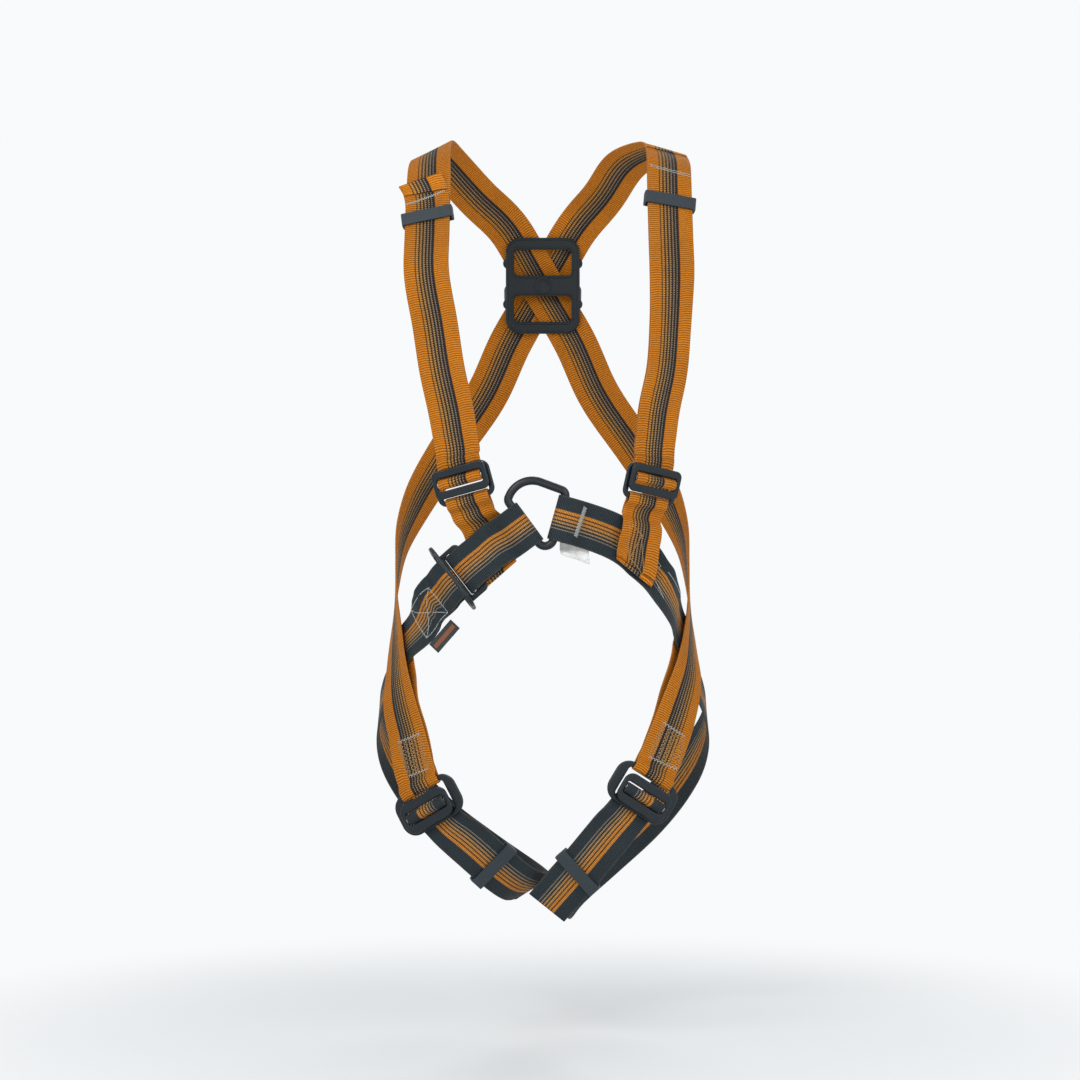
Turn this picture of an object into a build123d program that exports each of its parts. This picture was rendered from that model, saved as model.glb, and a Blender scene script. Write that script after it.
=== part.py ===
from build123d import *
import math
import os
import numpy as np

# Full body safety harness, worn. Millimetres. +X is the wearer's left, the front faces -Y, +Z is up.
# The origin is the middle of the wearer's trunk at waist level. "right" and "left" are the wearer's.

# --- webbing -------------------------------------------------------------------------------------
WEB_WIDTH = 46.0          # harness webbing, sold as 45
WEB_THICK = 1.8
LAYER_GAP = 0.6           # air between two layers that lie on each other
SKIN_GAP = 0.5            # air between the wearer and the lowest layer
FIT = 0.3                 # running clearance round bars and under plates
STEP = 14.0               # spacing of the sections along a strap
LAYER = WEB_THICK + LAYER_GAP
LOW = SKIN_GAP + WEB_THICK / 2          # height of the lowest layer's middle above the skin
HIGH = LOW + LAYER                      # middle of the second layer
TOP = HIGH + LAYER                      # middle of the third layer
BELOW = LOW - LAYER                     # middle of webbing sewn beneath the others

# --- buckles -------------------------------------------------------------------------------------
BUCKLE_THICK = 4.0        # steel frames and slide plates
EDGE_ROUND = 1.4          # rounding of their edges
ROLLER_R = 3.1            # round bar that the webbing runs over
SLOT_AIR = 1.3            # air beyond the webbing on each side of a roller
SIDE_AIR = 0.8            # air beyond each edge of the webbing in a window
WINDOW_LENGTH = WEB_WIDTH + 2 * SIDE_AIR
WINDOW_HEIGHT = 2 * (ROLLER_R + FIT + WEB_THICK + SLOT_AIR)
CHEST_SLIDE_SIDE, CHEST_FRAME_SIDE = 5.2, 6.7       # each plate's length beyond the webbing's window
LEG_SLIDE_SIDE, LEG_FRAME_SIDE = 4.7, 13.2
CHEST_SLIDE_LENGTH, CHEST_SLIDE_HEIGHT, CHEST_SLIDE_CORNER = WINDOW_LENGTH + 2 * CHEST_SLIDE_SIDE, 29.0, 6.5
CHEST_FRAME_LENGTH, CHEST_FRAME_HEIGHT, CHEST_FRAME_CORNER = WINDOW_LENGTH + 2 * CHEST_FRAME_SIDE, 37.0, 9.0
LEG_SLIDE_LENGTH, LEG_SLIDE_HEIGHT, LEG_SLIDE_CORNER = WINDOW_LENGTH + 2 * LEG_SLIDE_SIDE, 32.0, 10.0
LEG_FRAME_LENGTH, LEG_FRAME_HEIGHT, LEG_FRAME_CORNER = WINDOW_LENGTH + 2 * LEG_FRAME_SIDE, 44.0, 15.0
FRAME_BAR = 5.6           # long bars of the frames
LEG_FRAME_END = 11.0      # the leg frame's short ends are broader
WINDOW_CORNER = {"chest": 2.4, "leg": 4.0, "waist": 5.5}
TIP_AIR = 1.7             # air between slide and frame, in which the slide can tip about its roller
FRAME_DROP = 4.0          # the frame's middle lies this far from the slide's, towards its own strap
CHEST_SHIFT = {"right": 0.8, "left": -0.8}    # and this far sideways
LEG_SHIFT = {"right": 2.5, "left": -2.3}
LEG_LEAN = {"right": 0.43, "left": -0.2}      # sideways run of the leg strap as it leaves its slide
LEAN_FROM = 4.0           # it starts this far from the slide's middle

# --- label and tab -------------------------------------------------------------------------------
TAB_LENGTH, TAB_HEIGHT, TAB_THICK = 34.0, 13.0, 1.2
TAB_SECTION = -5          # the section of the hip belt that the tab is sewn to, from its end
TAB_GAP = 0.2             # the tab butts against the belt's edge
TAB_ALONG, TAB_FACING = (-0.64, 0.2, -0.74), (-0.35, -0.93, -0.1)
LABEL_WIDTH, LABEL_THICK = 31.0, 0.5
LABEL_HANG = [(30, -106, 2), (31, -106.3, -7), (32, -109.5, -13), (33.5, -111, -16), (34, -114, -20)]
LABEL_ACROSS = (0.94, 0.05, -0.33)

# --- rings, keepers, plate -----------------------------------------------------------------------
RING_WIRE = 8.5           # diameter of the front ring's bar
DEE_WIRE = 9.0            # diameter of the dorsal ring's bar
DEE_INSIDE = 66.0         # clear width of the dorsal ring
DEE_LEG = 16.0            # straight part of its legs
DEE_LEAN = 48.0           # the crossing straps hold the ring off the back by this angle
PLATE_WIDTH, PLATE_HEIGHT, PLATE_THICK, PLATE_CORNER = 80.0, 104.0, 3.5, 16.0
PLATE_WINDOW, PLATE_BRIDGE = (62.0, 28.0), 22.0
KEEPER_WALL = 1.9
KEEPER_HEIGHT = 13.0
KEEPER_SIDE_AIR = 1.6     # beyond each edge of the webbing, so that the keeper can sit askew
KEEPER_AIR = 1.5          # above and below the two layers inside it
KEEPER_SKEW = {"shoulder_right": 8.0, "shoulder_left": -6.0, "leg_right": -3.0, "leg_left": -6.0}

# --- the wearer: height, half width, depth in front, depth behind --------------------------------
TORSO = np.array([
    (-420.0, 170.0, 96.0, 112.0), (-250.0, 171.0, 112.0, 120.0), (-110.0, 153.0, 113.0, 114.0),
    (0.0, 147.0, 108.0, 101.0), (90.0, 162.0, 112.0, 100.0), (210.0, 182.0, 118.0, 108.0),
    (310.0, 186.0, 116.0, 112.0), (420.0, 160.0, 60.0, 80.0)])
SQUARENESS = 2.5          # exponent of the trunk's oval sections


def unit(v):
    return np.asarray(v, float) / np.linalg.norm(v)


def spline(knots, values, at):
    """Smooth curve through values at knots: cubic Hermite with finite-difference slopes."""
    knots, values = np.asarray(knots, float), np.asarray(values, float)
    slopes = np.gradient(values, knots, axis=0)
    i = int(np.clip(np.searchsorted(knots, at) - 1, 0, len(knots) - 2))
    h = knots[i + 1] - knots[i]
    t = np.clip((at - knots[i]) / h, 0.0, 1.0)
    return ((2 * t**3 - 3 * t**2 + 1) * values[i] + (t**3 - 2 * t**2 + t) * h * slopes[i]
            + (3 * t**2 - 2 * t**3) * values[i + 1] + (t**3 - t**2) * h * slopes[i + 1])


def roundness(x, y, z):
    """1 on the trunk's skin, less inside, more outside."""
    half, front, back = spline(TORSO[:, 0], TORSO[:, 1:], z)
    return abs(x / half) ** SQUARENESS + abs(y / (front if y < 0 else back)) ** SQUARENESS


def lifted(x, y, z, lift):
    """A point of the skin raised by lift, with the skin's outward normal."""
    e = 0.5
    normal = unit([roundness(x + e, y, z) - roundness(x - e, y, z),
                   roundness(x, y + e, z) - roundness(x, y - e, z),
                   roundness(x, y, z + e) - roundness(x, y, z - e)])
    return np.array([x, y, z]) + normal * lift, normal


def front(x, z, lift=LOW):
    half, depth, _ = spline(TORSO[:, 0], TORSO[:, 1:], z)
    return lifted(x, -depth * (1 - abs(x / half) ** SQUARENESS) ** (1 / SQUARENESS), z, lift)


def back(x, z, lift=LOW):
    half, _, depth = spline(TORSO[:, 0], TORSO[:, 1:], z)
    return lifted(x, depth * (1 - abs(x / half) ** SQUARENESS) ** (1 / SQUARENESS), z, lift)


def free(x, y, z, nx, ny, nz):
    return np.array([x, y, z], float), unit([nx, ny, nz])


class Seat:
    """Local frame of a buckle, ring or keeper: u across its strap, v along it, n away from the body."""

    def __init__(self, centre, normal, across):
        self.o = np.asarray(centre, float)
        self.n = unit(normal)
        self.u = unit(across - self.n * np.dot(across, self.n))
        self.v = np.cross(self.n, self.u)

    def at(self, u, v, n):
        return self.o + self.u * u + self.v * v + self.n * n

    def plane(self, u=0.0, v=0.0, n=0.0):
        return Plane(origin=tuple(self.at(u, v, n)), x_dir=tuple(self.u), z_dir=tuple(self.n))


def seat_on_front(x, z, tilt_deg):
    point, normal = front(x, z, 0.0)
    level = unit(np.cross((0, 0, 1), normal))
    rise = np.cross(normal, level)
    tilt = math.radians(tilt_deg)
    return Seat(point, normal, level * math.cos(tilt) + rise * math.sin(tilt))


# --- strap sections ------------------------------------------------------------------------------
# A strap is a list of sections (point, across). The face normal follows from the direction of travel.

def along(points, across0=None, across1=None, blend=45.0, step=STEP):
    """Sections every step along a smooth line through points with normals.
    across0 and across1 turn the webbing at its ends, as where it meets a slanting bar."""
    centres = np.array([p for p, _ in points])
    normals = np.array([n for _, n in points])
    chord = np.concatenate([[0], np.cumsum(np.linalg.norm(np.diff(centres, axis=0), axis=1))])
    count = max(2, int(round(chord[-1] / step)) + 1)
    places = np.linspace(0, chord[-1], count)
    sections = []
    for s in places:
        p = spline(chord, centres, s)
        travel = unit(spline(chord, centres, min(s + 0.5, chord[-1])) - spline(chord, centres, max(s - 0.5, 0)))
        across = unit(np.cross(travel, spline(chord, normals, s)))
        for wanted, distance in ((across0, s), (across1, chord[-1] - s)):
            if wanted is not None and distance < blend:
                k = (1 - distance / blend) ** 2 * (1 + 2 * distance / blend)
                wanted = np.asarray(wanted) * (1 if np.dot(wanted, across) > 0 else -1)
                across = unit(across * (1 - k) + wanted * k)
        sections.append((p, across))
    return sections


def turned(seat, path, shift=0.0):
    """Sections of webbing that goes round a bar of the seat; path lists (v, n)."""
    return [(seat.at(shift, v, n), seat.u) for v, n in path]


def joined(*runs):
    """One strap from runs of sections, with the across direction kept from flipping."""
    sections = []
    for run in runs:
        for p, w in run:
            if sections and np.linalg.norm(p - sections[-1][0]) < 1.2:
                continue
            if sections and np.dot(w, sections[-1][1]) < 0:
                w = -w
            sections.append((p, w))
    return sections


def faced(sections):
    """Sections with their face normal: (point, across, normal)."""
    points = np.array([p for p, _ in sections])
    travel = np.gradient(points, axis=0)
    return [(p, w, unit(np.cross(t, w))) for (p, w), t in zip(sections, travel)]


def ribbon(sections, width=WEB_WIDTH, thick=WEB_THICK):
    wires = []
    for p, w, n in sections:
        corners = [p + w * a * width / 2 + n * b * thick / 2 for a, b in ((1, 1), (-1, 1), (-1, -1), (1, -1))]
        wires.append(Wire.make_polygon([tuple(c) for c in corners], close=True))
    return Solid.make_loft(wires, ruled=True)


def arc(centre, radius, start_deg, end_deg, count):
    """(v, n) points on a circle; 0 degrees points along +v, 90 away from the body."""
    angles = np.radians(np.linspace(start_deg, end_deg, count))
    return [(centre[0] + radius * math.cos(a), centre[1] + radius * math.sin(a)) for a in angles]


# --- pass-through buckles ------------------------------------------------------------------------
# The slide hangs on its own strap, is pushed through the frame and lies in front of it. Its strap,
# in two layers, runs round the roller and leaves behind the frame's far bar.
FRAME_N = HIGH + WEB_THICK / 2 + FIT                    # back of the frame, over two layers
SLIDE_N = FRAME_N + BUCKLE_THICK + TIP_AIR              # back of the slide plate
ROLLER_N = SLIDE_N + BUCKLE_THICK / 2                   # axis of the roller
TURN_R = ROLLER_R + FIT + WEB_THICK / 2                 # middle of the webbing round the roller
BAR_TURN_R = BUCKLE_THICK / 2 + FIT + WEB_THICK / 2     # middle of the webbing round a frame bar


def slide_turn(way, frame_height, reach):
    """Path of the slide's own strap, front layer first. way is +1 if the strap leaves upwards."""
    bar = frame_height / 2 - FRAME_DROP - FRAME_BAR     # inner edge of the frame bar it ducks under
    path = [(reach, HIGH), (bar + 4.0, HIGH), (bar - 0.3, HIGH + 0.2), (TURN_R + 0.9, ROLLER_N - 2.9)]
    path += arc((0, ROLLER_N), TURN_R + 0.1, -14, 250, 12)
    path += [(TURN_R, LOW + 3.9), (bar - 1.5, LOW + 0.4), (bar + 1.0, LOW), (reach, LOW)]
    return [(way * v, n) for v, n in path]


def bar_turn(way, frame_height, reach):
    """Path of the frame's own strap, sewn back on itself. way is +1 if it leaves upwards."""
    centre = frame_height / 2 + FRAME_DROP - FRAME_BAR + BUCKLE_THICK / 2
    middle = FRAME_N + BUCKLE_THICK / 2
    path = [(reach, HIGH), (centre + 12.0, HIGH + 0.6), (centre + 4.0, middle + BAR_TURN_R)]
    path += arc((centre, middle), BAR_TURN_R, 90, 270, 9)
    path += [(centre + 5.0, middle - BAR_TURN_R - 0.4), (centre + 12.0, LOW + 0.1), (reach, LOW)]
    return [(way * v, n) for v, n in path]


CHEST_SEAT = {"right": seat_on_front(-79.5, 61.0, 14.5), "left": seat_on_front(107.0, 60.5, -10.8)}
LEG_SEAT = {"right": seat_on_front(-112.0, -271.0, 29.0), "left": seat_on_front(97.5, -258.0, -32.0)}
SIGN = {"right": -1, "left": 1}
REACH = 24.0              # straight stretch beside a slide
LEG_REACH = LEG_FRAME_HEIGHT / 2 + FRAME_DROP + 14.0
LINK_REACH = CHEST_FRAME_HEIGHT / 2 + FRAME_DROP + 16.0


def edge_point(seat, v, n, u=0.0):
    return seat.at(u, v, n), seat.n


def raised(points, lift):
    return [(p + n * lift, n) for p, n in points]


# --- routes --------------------------------------------------------------------------------------
# Places where each strap crosses the body, from the buckle outwards.
CHEST_LINE = {"right": [(-92.5, 132), (-101.0, 170), (-107.5, 213)],
              "left": [(116.0, 133), (123.5, 168), (127.0, 210)]}
CHEST_FACE = {"right": 0.35, "left": 0.9}     # how far the stiff webbing follows the chest's roundness
SHOULDER_FRONT = {"right": -117.0, "left": 129.0}
# sideways, backwards and upwards from the top of the strap's straight fall
SHOULDER_LINE = {"right": [(0, 26.6, 29), (-3, 66.6, 44), (-15, 108.6, 36), (-46, 150.6, 6)],
                 "left": [(0, 26.6, 29), (-5, 66.6, 44), (-40, 108.6, 36), (-64, 150.6, 6)]}
SHOULDER_TILT = {"right": 27.0, "left": 20.0}


def chest_point(name, x, z, lift):
    point, normal = front(x, z, 0.0)
    normal = unit(normal * [CHEST_FACE[name], 1, 1])
    return point + normal * lift, normal


def shoulder_front(name, lift):
    """The straight fall of the strap from the shoulder down the upper chest, where the keeper rides."""
    x = SHOULDER_FRONT[name]
    slope = unit([SIGN[name] * 0.2, -1.0, 0.42])
    top, low = np.array([x - SIGN[name] * 1.0, -67.6, 360.0]), np.array([x, -105.0, 272.0])
    return [(low + (top - low) * share + slope * lift, slope) for share in (0.0, 0.35, 0.8, 1.0)]


def chest_run(name, lift):
    """From the chest buckle up to the front of the shoulder."""
    points = [edge_point(CHEST_SEAT[name], REACH, lift, -1.5 * SIGN[name])]
    points += [chest_point(name, x, z, lift) for x, z in CHEST_LINE[name]]
    return points + shoulder_front(name, lift)


def shoulder_run(name, lift):
    """From the top of the straight fall over the shoulder, to the dorsal plate."""
    outward = SIGN[name]
    tilt = math.tan(math.radians(SHOULDER_TILT[name]))
    start = shoulder_front(name, 0.0)[-1][0]
    points = []
    for (dx, dy, dz), lean, share in zip(SHOULDER_LINE[name], (-0.62, 0.0, 0.5, 1.6), (0.8, 1.0, 1.0, 0.9)):
        normal = unit([outward * tilt * share, lean, 1.0])
        points.append((start + [outward * dx, dy, dz] + normal * lift, normal))
    return points


def tail_end(name):
    """The free end above the keeper: askew in front on the right, up to the ridge on the left."""
    if name == "right":
        return [free(-121.5, -70.0, 371.0, -0.25, -1, 0.42)], (0.93, 0.0, 0.34)
    first, second = shoulder_run(name, HIGH)[:2]
    return [first, ((first[0] + second[0]) / 2 + (0, 0, 3), unit(first[1] + second[1]))], None


DORSAL_Z = 275.0
DORSAL_SEAT = Seat(back(0, DORSAL_Z, SKIN_GAP)[0], (0, 1, 0), (-1, 0, 0))
DEE_N = PLATE_THICK + FIT + DEE_WIRE / 2                # axis of the dorsal ring's bar
CROSS_ANGLE = 30.0                                      # the straps' slope over the plate
CROSS_GAP = 1.0           # extra air between the crossing straps
CROSS_RISE = 44.0         # half length of the hump over the bar
CROSS_END = PLATE_HEIGHT / 2 + 4


def cross_height(v, layer):
    """Height of a crossing strap over the dorsal plate: it rises over the ring's bar."""
    gap = LAYER + CROSS_GAP
    over = DEE_N + DEE_WIRE / 2 + FIT + WEB_THICK / 2 + CROSS_GAP + layer * gap
    flat = PLATE_THICK + LAYER_GAP + WEB_THICK / 2 + CROSS_GAP / 2 + layer * gap
    return flat + (over - flat) * math.cos(min(1.0, abs(v) / CROSS_RISE) * math.pi / 2) ** 1.6


def cross_run(name, layer):
    """Over the dorsal plate and the ring's bar, going down towards the other hip."""
    slope = -SIGN[name] * math.tan(math.radians(CROSS_ANGLE))          # u points to the wearer's right
    points = []
    for v in np.linspace(CROSS_END, -CROSS_END, 9):
        steep = cross_height(v + 1.0, layer) - cross_height(v - 1.0, layer)
        normal = unit(DORSAL_SEAT.n - DORSAL_SEAT.v * steep / 2)
        points.append((DORSAL_SEAT.at(v * slope, v, cross_height(v, layer)), normal))
    return points


# Middle of the outer webbing round the hip to the thigh buckle, with the way it faces.
HIP_LINE = {
    "right": [free(-60, 116, 158, -0.15, 1, 0.05), free(-100, 102, 98, -0.35, 0.94, 0.1),
              free(-133, 75, 42, -0.7, 0.7, 0.1), free(-149, 46, 0, -0.95, 0.3, 0.05),
              free(-152.5, 16, -36, -1, 0.02, 0), free(-153, -12, -70, -1, -0.14, 0),
              free(-152, -34, -100, -0.93, -0.36, 0), free(-151, -51, -126, -0.87, -0.5, 0),
              free(-149.5, -64, -147, -0.76, -0.65, 0), free(-146, -75, -168, -0.63, -0.78, 0),
              free(-137, -88, -200, -0.54, -0.84, 0)],
    "left": [free(60, 116, 158, 0.15, 1, 0.05), free(100, 102, 98, 0.35, 0.94, 0.1),
             free(133, 75, 42, 0.7, 0.7, 0.1), free(148, 46, 0, 0.95, 0.3, 0.05),
             free(151.5, 16, -36, 1, 0.02, 0), free(152.5, -12, -72, 1, -0.14, 0),
             free(152, -36, -105, 0.92, -0.39, 0), free(149.5, -58, -134, 0.74, -0.67, 0),
             free(141, -76, -162, 0.55, -0.83, 0), free(132, -88, -187, 0.42, -0.91, 0)]}
HIP_GAP = 4.6             # spacing of the layers where a belt end is sewn in between
HIP_OPEN = -90.0          # below this height the hip line has webbing beneath
HIP_CLOSE = -165.0        # and below this one the layers lie close again


def hip_inner(name, down):
    """Hip line for webbing sewn beneath, down layers of it, from the thigh buckle up."""
    line = [point for point in HIP_LINE[name] if point[0][2] < HIP_OPEN]
    gaps = [HIP_GAP if point[2] > HIP_CLOSE else LAYER for point, _ in line]
    return [raised([point], -down * gap)[0] for point, gap in zip(line, gaps)][::-1]


def split(sections, *places):
    """Cut a strap at the sections nearest to the places; both parts keep the section at the cut."""
    cuts = [int(np.argmin([np.linalg.norm(p - place) for p, _, _ in sections])) for place in places]
    ends = [0] + cuts + [len(sections) - 1]
    return [sections[a:b + 1] for a, b in zip(ends, ends[1:])]


def main_straps():
    runs = {}
    for name, other, layer in (("right", "left", 0), ("left", "right", 1)):
        chest, leg, shift = CHEST_SEAT[name], LEG_SEAT[other], LEG_SHIFT[other]
        end, askew = tail_end(name)
        tail = along((chest_run(name, HIGH) + end)[::-1], across0=askew, blend=30)
        shoulder, crossing = shoulder_run(name, LOW), cross_run(name, layer)
        lower = along(chest_run(name, LOW) + shoulder + crossing + HIP_LINE[other]
                      + [edge_point(leg, LEG_REACH, HIGH, shift)])
        inner = along([edge_point(leg, LEG_REACH, LOW, shift)] + hip_inner(other, 2))
        whole = joined(tail, turned(chest, slide_turn(1, CHEST_FRAME_HEIGHT, REACH)), lower,
                       turned(leg, bar_turn(1, LEG_FRAME_HEIGHT, LEG_REACH), shift), inner)
        front_end = (shoulder_front(name, LOW)[-1][0] + shoulder[0][0]) / 2
        places = front_end, crossing[-1][0], HIP_LINE[other][4][0]
        pieces = f"front_strap_{name}", f"shoulder_strap_{name}", f"back_strap_{other}", f"thigh_strap_{other}"
        runs.update(zip(pieces, split(faced(whole), *places)))
    return runs


# --- waist ---------------------------------------------------------------------------------------
# The front ring is a bowed triangle: foot, left shoulder, top of the bow, right shoulder, in (u, v).
RING_SEAT = Seat(front(0, 20, 0)[0], (0, -1, 0), (1, 0, 0))
RING_FOOT = (5.6, -36.6)
RING_LEFT = (23.7, 28.4)
RING_BOW = (-24.0, 45.9)
RING_RIGHT = (-35.8, 19.6)
RING_RADII = [8.5, 6.0, 25.0, 6.0]
RING_MIDDLE = 40.0        # the belts grip the ring's legs this far from the foot
RING_TILT = 4.0           # how far the ring tips in its two web loops, each way
RING_HOLD = RING_WIRE / 2 + 2 * FIT + WEB_THICK / 2
RING_DEEP = RING_HOLD + math.sin(math.radians(RING_TILT)) * WEB_WIDTH / 2 + FIT
RING_N = SKIN_GAP + WEB_THICK / 2 + RING_DEEP


def ring_loop(corner, middle, front_n, back_n, reach):
    """Belt end folded round a leg of the ring: sections from the front layer to the back layer."""
    leg = unit(np.array(corner) - np.array(RING_FOOT))
    out = np.array([leg[1], -leg[0]]) * (1 if corner[0] > 0 else -1)
    across = RING_SEAT.u * leg[0] + RING_SEAT.v * leg[1]
    centre = np.array(RING_FOOT) + leg * middle
    path = [(reach, front_n - RING_N), (reach * 0.6, RING_DEEP * 0.62)]
    path += [(RING_HOLD * math.cos(a), RING_DEEP * math.sin(a)) for a in np.radians(np.linspace(75, 285, 12))]
    path += [(reach * 0.6, -RING_DEEP * 0.9), (reach, back_n - RING_N)]
    return [(RING_SEAT.at(*(centre + out * v), RING_N + n), across) for v, n in path]


WAIST_SEAT = seat_on_front(-79.5, -34.0, -50.0)
BELT_REACH = 26.0
WAIST_SLIDE_N = LOW + WEB_THICK / 2 + FIT                     # back of the waist slide
WAIST_ROLLER_N = WAIST_SLIDE_N + BUCKLE_THICK / 2
WAIST_OVER = WAIST_SLIDE_N + BUCKLE_THICK + FIT + WEB_THICK / 2   # first layer over the slide's bars
BAR_ROOM = math.hypot(FRAME_BAR / 2 - EDGE_ROUND, BUCKLE_THICK / 2 - EDGE_ROUND) + EDGE_ROUND + FIT
HINGE_R = BAR_ROOM + WEB_THICK / 2                            # webbing round a bar that turns in it
HINGE_V = -CHEST_SLIDE_HEIGHT / 2 + 4.0
HINGE_N = WAIST_OVER + HINGE_R + 0.5


def waist_slide_turn():
    """Ring-side belt round the waist roller, front layer first."""
    second = WAIST_OVER + LAYER
    path = [(BELT_REACH + 8, TOP), (17.0, second), (8.0, second), (4.2, WAIST_ROLLER_N + TURN_R + 1.3)]
    path += arc((0, WAIST_ROLLER_N), TURN_R, 75, 355, 13)
    path += [(4.7, WAIST_ROLLER_N + 2.2), (7.6, WAIST_OVER), (17.0, WAIST_OVER), (BELT_REACH + 8, HIGH)]
    return path


def waist_hinge_turn():
    """Hip belt round the hinge bar of the waist frame, back layer first."""
    centre = (HINGE_V, HINGE_N)
    path = [(-46.0, LOW), (-28.0, LOW), (HINGE_V - 7.0, HINGE_N - HINGE_R - 0.6)]
    path += arc(centre, HINGE_R, -100, 100, 10)
    path += [(HINGE_V - 9.0, HINGE_N + 1.4), (-30.0, HIGH + 2.4), (-46.0, HIGH)]
    return path


# Where the belts are sewn in beneath the outer webbing of the hips, and the way they leave it.
BELT_END = {"right": (free(-151.5, -42, -112, -0.9, -0.43, 0.12), (0.44, -0.76, 0.48)),
            "left": (free(152, -36, -105, 0.92, -0.39, 0.12), (-0.26, -0.61, 0.75))}


def belt_end(name):
    place, forward = BELT_END[name]
    p, n = raised([place], -HIP_GAP)[0]
    forward = unit(forward - n * np.dot(forward, n))
    return [(p + forward * 26.0, n), (p + forward * 8.0, n)]


def belts():
    runs = {}
    loop = ring_loop(RING_LEFT, RING_MIDDLE, HIGH, LOW, BELT_REACH)
    across = loop[0][1]
    outer = along([(loop[0][0], RING_SEAT.n), front(66, 6, HIGH), front(84, -4, HIGH), front(104, -25, HIGH),
                   free(119, -94, -42, 0.68, -0.73, 0.1), free(135, -70, -70, 0.88, -0.45, 0.1)]
                  + belt_end("left"), across0=across)
    inner = along([(loop[-1][0], RING_SEAT.n), front(66, 6, LOW), front(74, 2, LOW)], across0=across)
    runs["waist_belt_left"] = faced(joined(outer[::-1], loop, inner))

    loop = ring_loop(RING_RIGHT, RING_MIDDLE, TOP, HIGH, BELT_REACH)
    across = loop[0][1]
    turn = turned(WAIST_SEAT, waist_slide_turn())
    outer = along([(loop[0][0], RING_SEAT.n), front(-45, -1, TOP), (turn[0][0], WAIST_SEAT.n)],
                  across0=across, across1=WAIST_SEAT.u, blend=30)
    inner = along([(turn[-1][0], WAIST_SEAT.n), front(-45, -1, HIGH)], across0=WAIST_SEAT.u, blend=30)
    back_end = along([(loop[-1][0], RING_SEAT.n), front(-42, 0, HIGH)], across0=across, blend=30)
    runs["waist_belt_ring_side"] = faced(joined(back_end[::-1], loop[::-1], outer, turn, inner[:-1]))

    turn = turned(WAIST_SEAT, waist_hinge_turn())
    hip = along([(turn[-1][0], WAIST_SEAT.n), front(-117, -79, HIGH)] + belt_end("right"), across0=WAIST_SEAT.u)
    runs["waist_belt_hip_side"] = faced(joined(turn, hip))
    return runs


def link_straps():
    """Short straps from the chest frames down to the waist belt."""
    runs = {}
    ends = {"right": ([(-62.0, 18), (-53.0, -10), (-45.3, -37.3)], BELOW - 0.5, (0.75, 0, 0.66)),
            "left": ([(95.0, 14), (91.0, -10), (88.5, -35)], TOP + 2.4 * LAYER, (0.77, 0, -0.64))}
    for name, (places, lift, slant) in ends.items():
        seat = CHEST_SEAT[name]
        shift = CHEST_SHIFT[name]
        turn = turned(seat, bar_turn(-1, CHEST_FRAME_HEIGHT, LINK_REACH)[::-1], shift)
        down = along([edge_point(seat, -LINK_REACH, HIGH, shift)] + [front(x, z, lift) for x, z in places],
                     across0=seat.u, across1=slant, blend=30, step=11.0)
        runs[f"link_strap_{name}"] = faced(joined(turn, down))
    return runs


# --- legs ----------------------------------------------------------------------------------------
CROTCH = {
    "right": [free(-76.0, -101.0, -304.0, 0.1, -1, -0.05), free(-49.0, -92.0, -329.0, 0.25, -0.95, -0.25),
              free(-27.0, -76.0, -347.0, 0.4, -0.75, -0.55), free(-12.0, -45.0, -354.0, 0.5, -0.25, -0.85),
              free(-14.0, 0.0, -357.0, 0.6, 0.2, -0.8), free(-32.0, 46.0, -351.0, 0.5, 0.75, -0.4),
              free(-68.0, 82.0, -330.0, 0.1, 1, -0.1)],
    "left": [free(66.0, -102.0, -297.0, -0.1, -1, -0.05), free(37.0, -93.0, -333.0, -0.25, -0.95, -0.25),
             free(20.0, -86.5, -352.5, -0.3, -0.9, -0.35), free(10.5, -64.0, -368.5, -0.42, -0.5, -0.72),
             free(9.0, -36.0, -376.0, -0.55, -0.1, -0.8), free(13.0, -2.0, -378.0, -0.65, 0.1, -0.75),
             free(30.0, 44.0, -366.0, -0.6, 0.75, -0.3), free(66.0, 83.0, -338.0, -0.1, 1, -0.1)]}


def leg_straps():
    """From the leg slide down, under the crotch and up behind the thigh to the hip."""
    runs = {}
    for name, s in SIGN.items():
        seat, aside = LEG_SEAT[name], LEG_LEAN[name] * (LEG_SLIDE_REACH - LEAN_FROM)
        turn = [(p + seat.u * LEG_LEAN[name] * max(0.0, -np.dot(p - seat.o, seat.v) - LEAN_FROM), w)
                for p, w in turned(seat, slide_turn(-1, LEG_FRAME_HEIGHT, LEG_SLIDE_REACH))]
        behind = [free(s * 108, 88, -300, s * 0.3, 0.95, 0), free(s * 140, 74, -262, s * 0.65, 0.76, 0),
                  free(s * 163, 44, -222, s * 0.9, 0.45, 0), free(s * 171, 12, -188, s, 0.05, 0),
                  free(s * 165, -9, -161, s, -0.15, 0.1), free(s * 150, -22, -132, s * 0.93, -0.36, 0.1)]
        lower = CROTCH[name]
        if name == "right":                                 # the main run is the front layer
            main = along([edge_point(seat, -LEG_SLIDE_REACH, HIGH, aside)] + raised(lower[:3], LAYER)
                         + raised(lower[3:], LAYER) + behind)
            tail = along([edge_point(seat, -LEG_SLIDE_REACH, LOW, aside)] + lower[:3])[:-1]
            runs["leg_strap_right"] = faced(joined(main[::-1], turn, tail))
        else:                                               # the tail is the front layer, cut straight
            main = along([edge_point(seat, -LEG_SLIDE_REACH, LOW, aside)] + lower + behind)
            end = free(4.5, -79.0, -371.5, -0.3, -0.85, -0.45)
            tail = along([edge_point(seat, -LEG_SLIDE_REACH, HIGH, aside)] + raised(lower[:2], LAYER)
                         + raised([end], LAYER))
            runs["leg_strap_left"] = faced(joined(main[::-1], turn[::-1], tail))
    return runs


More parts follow.
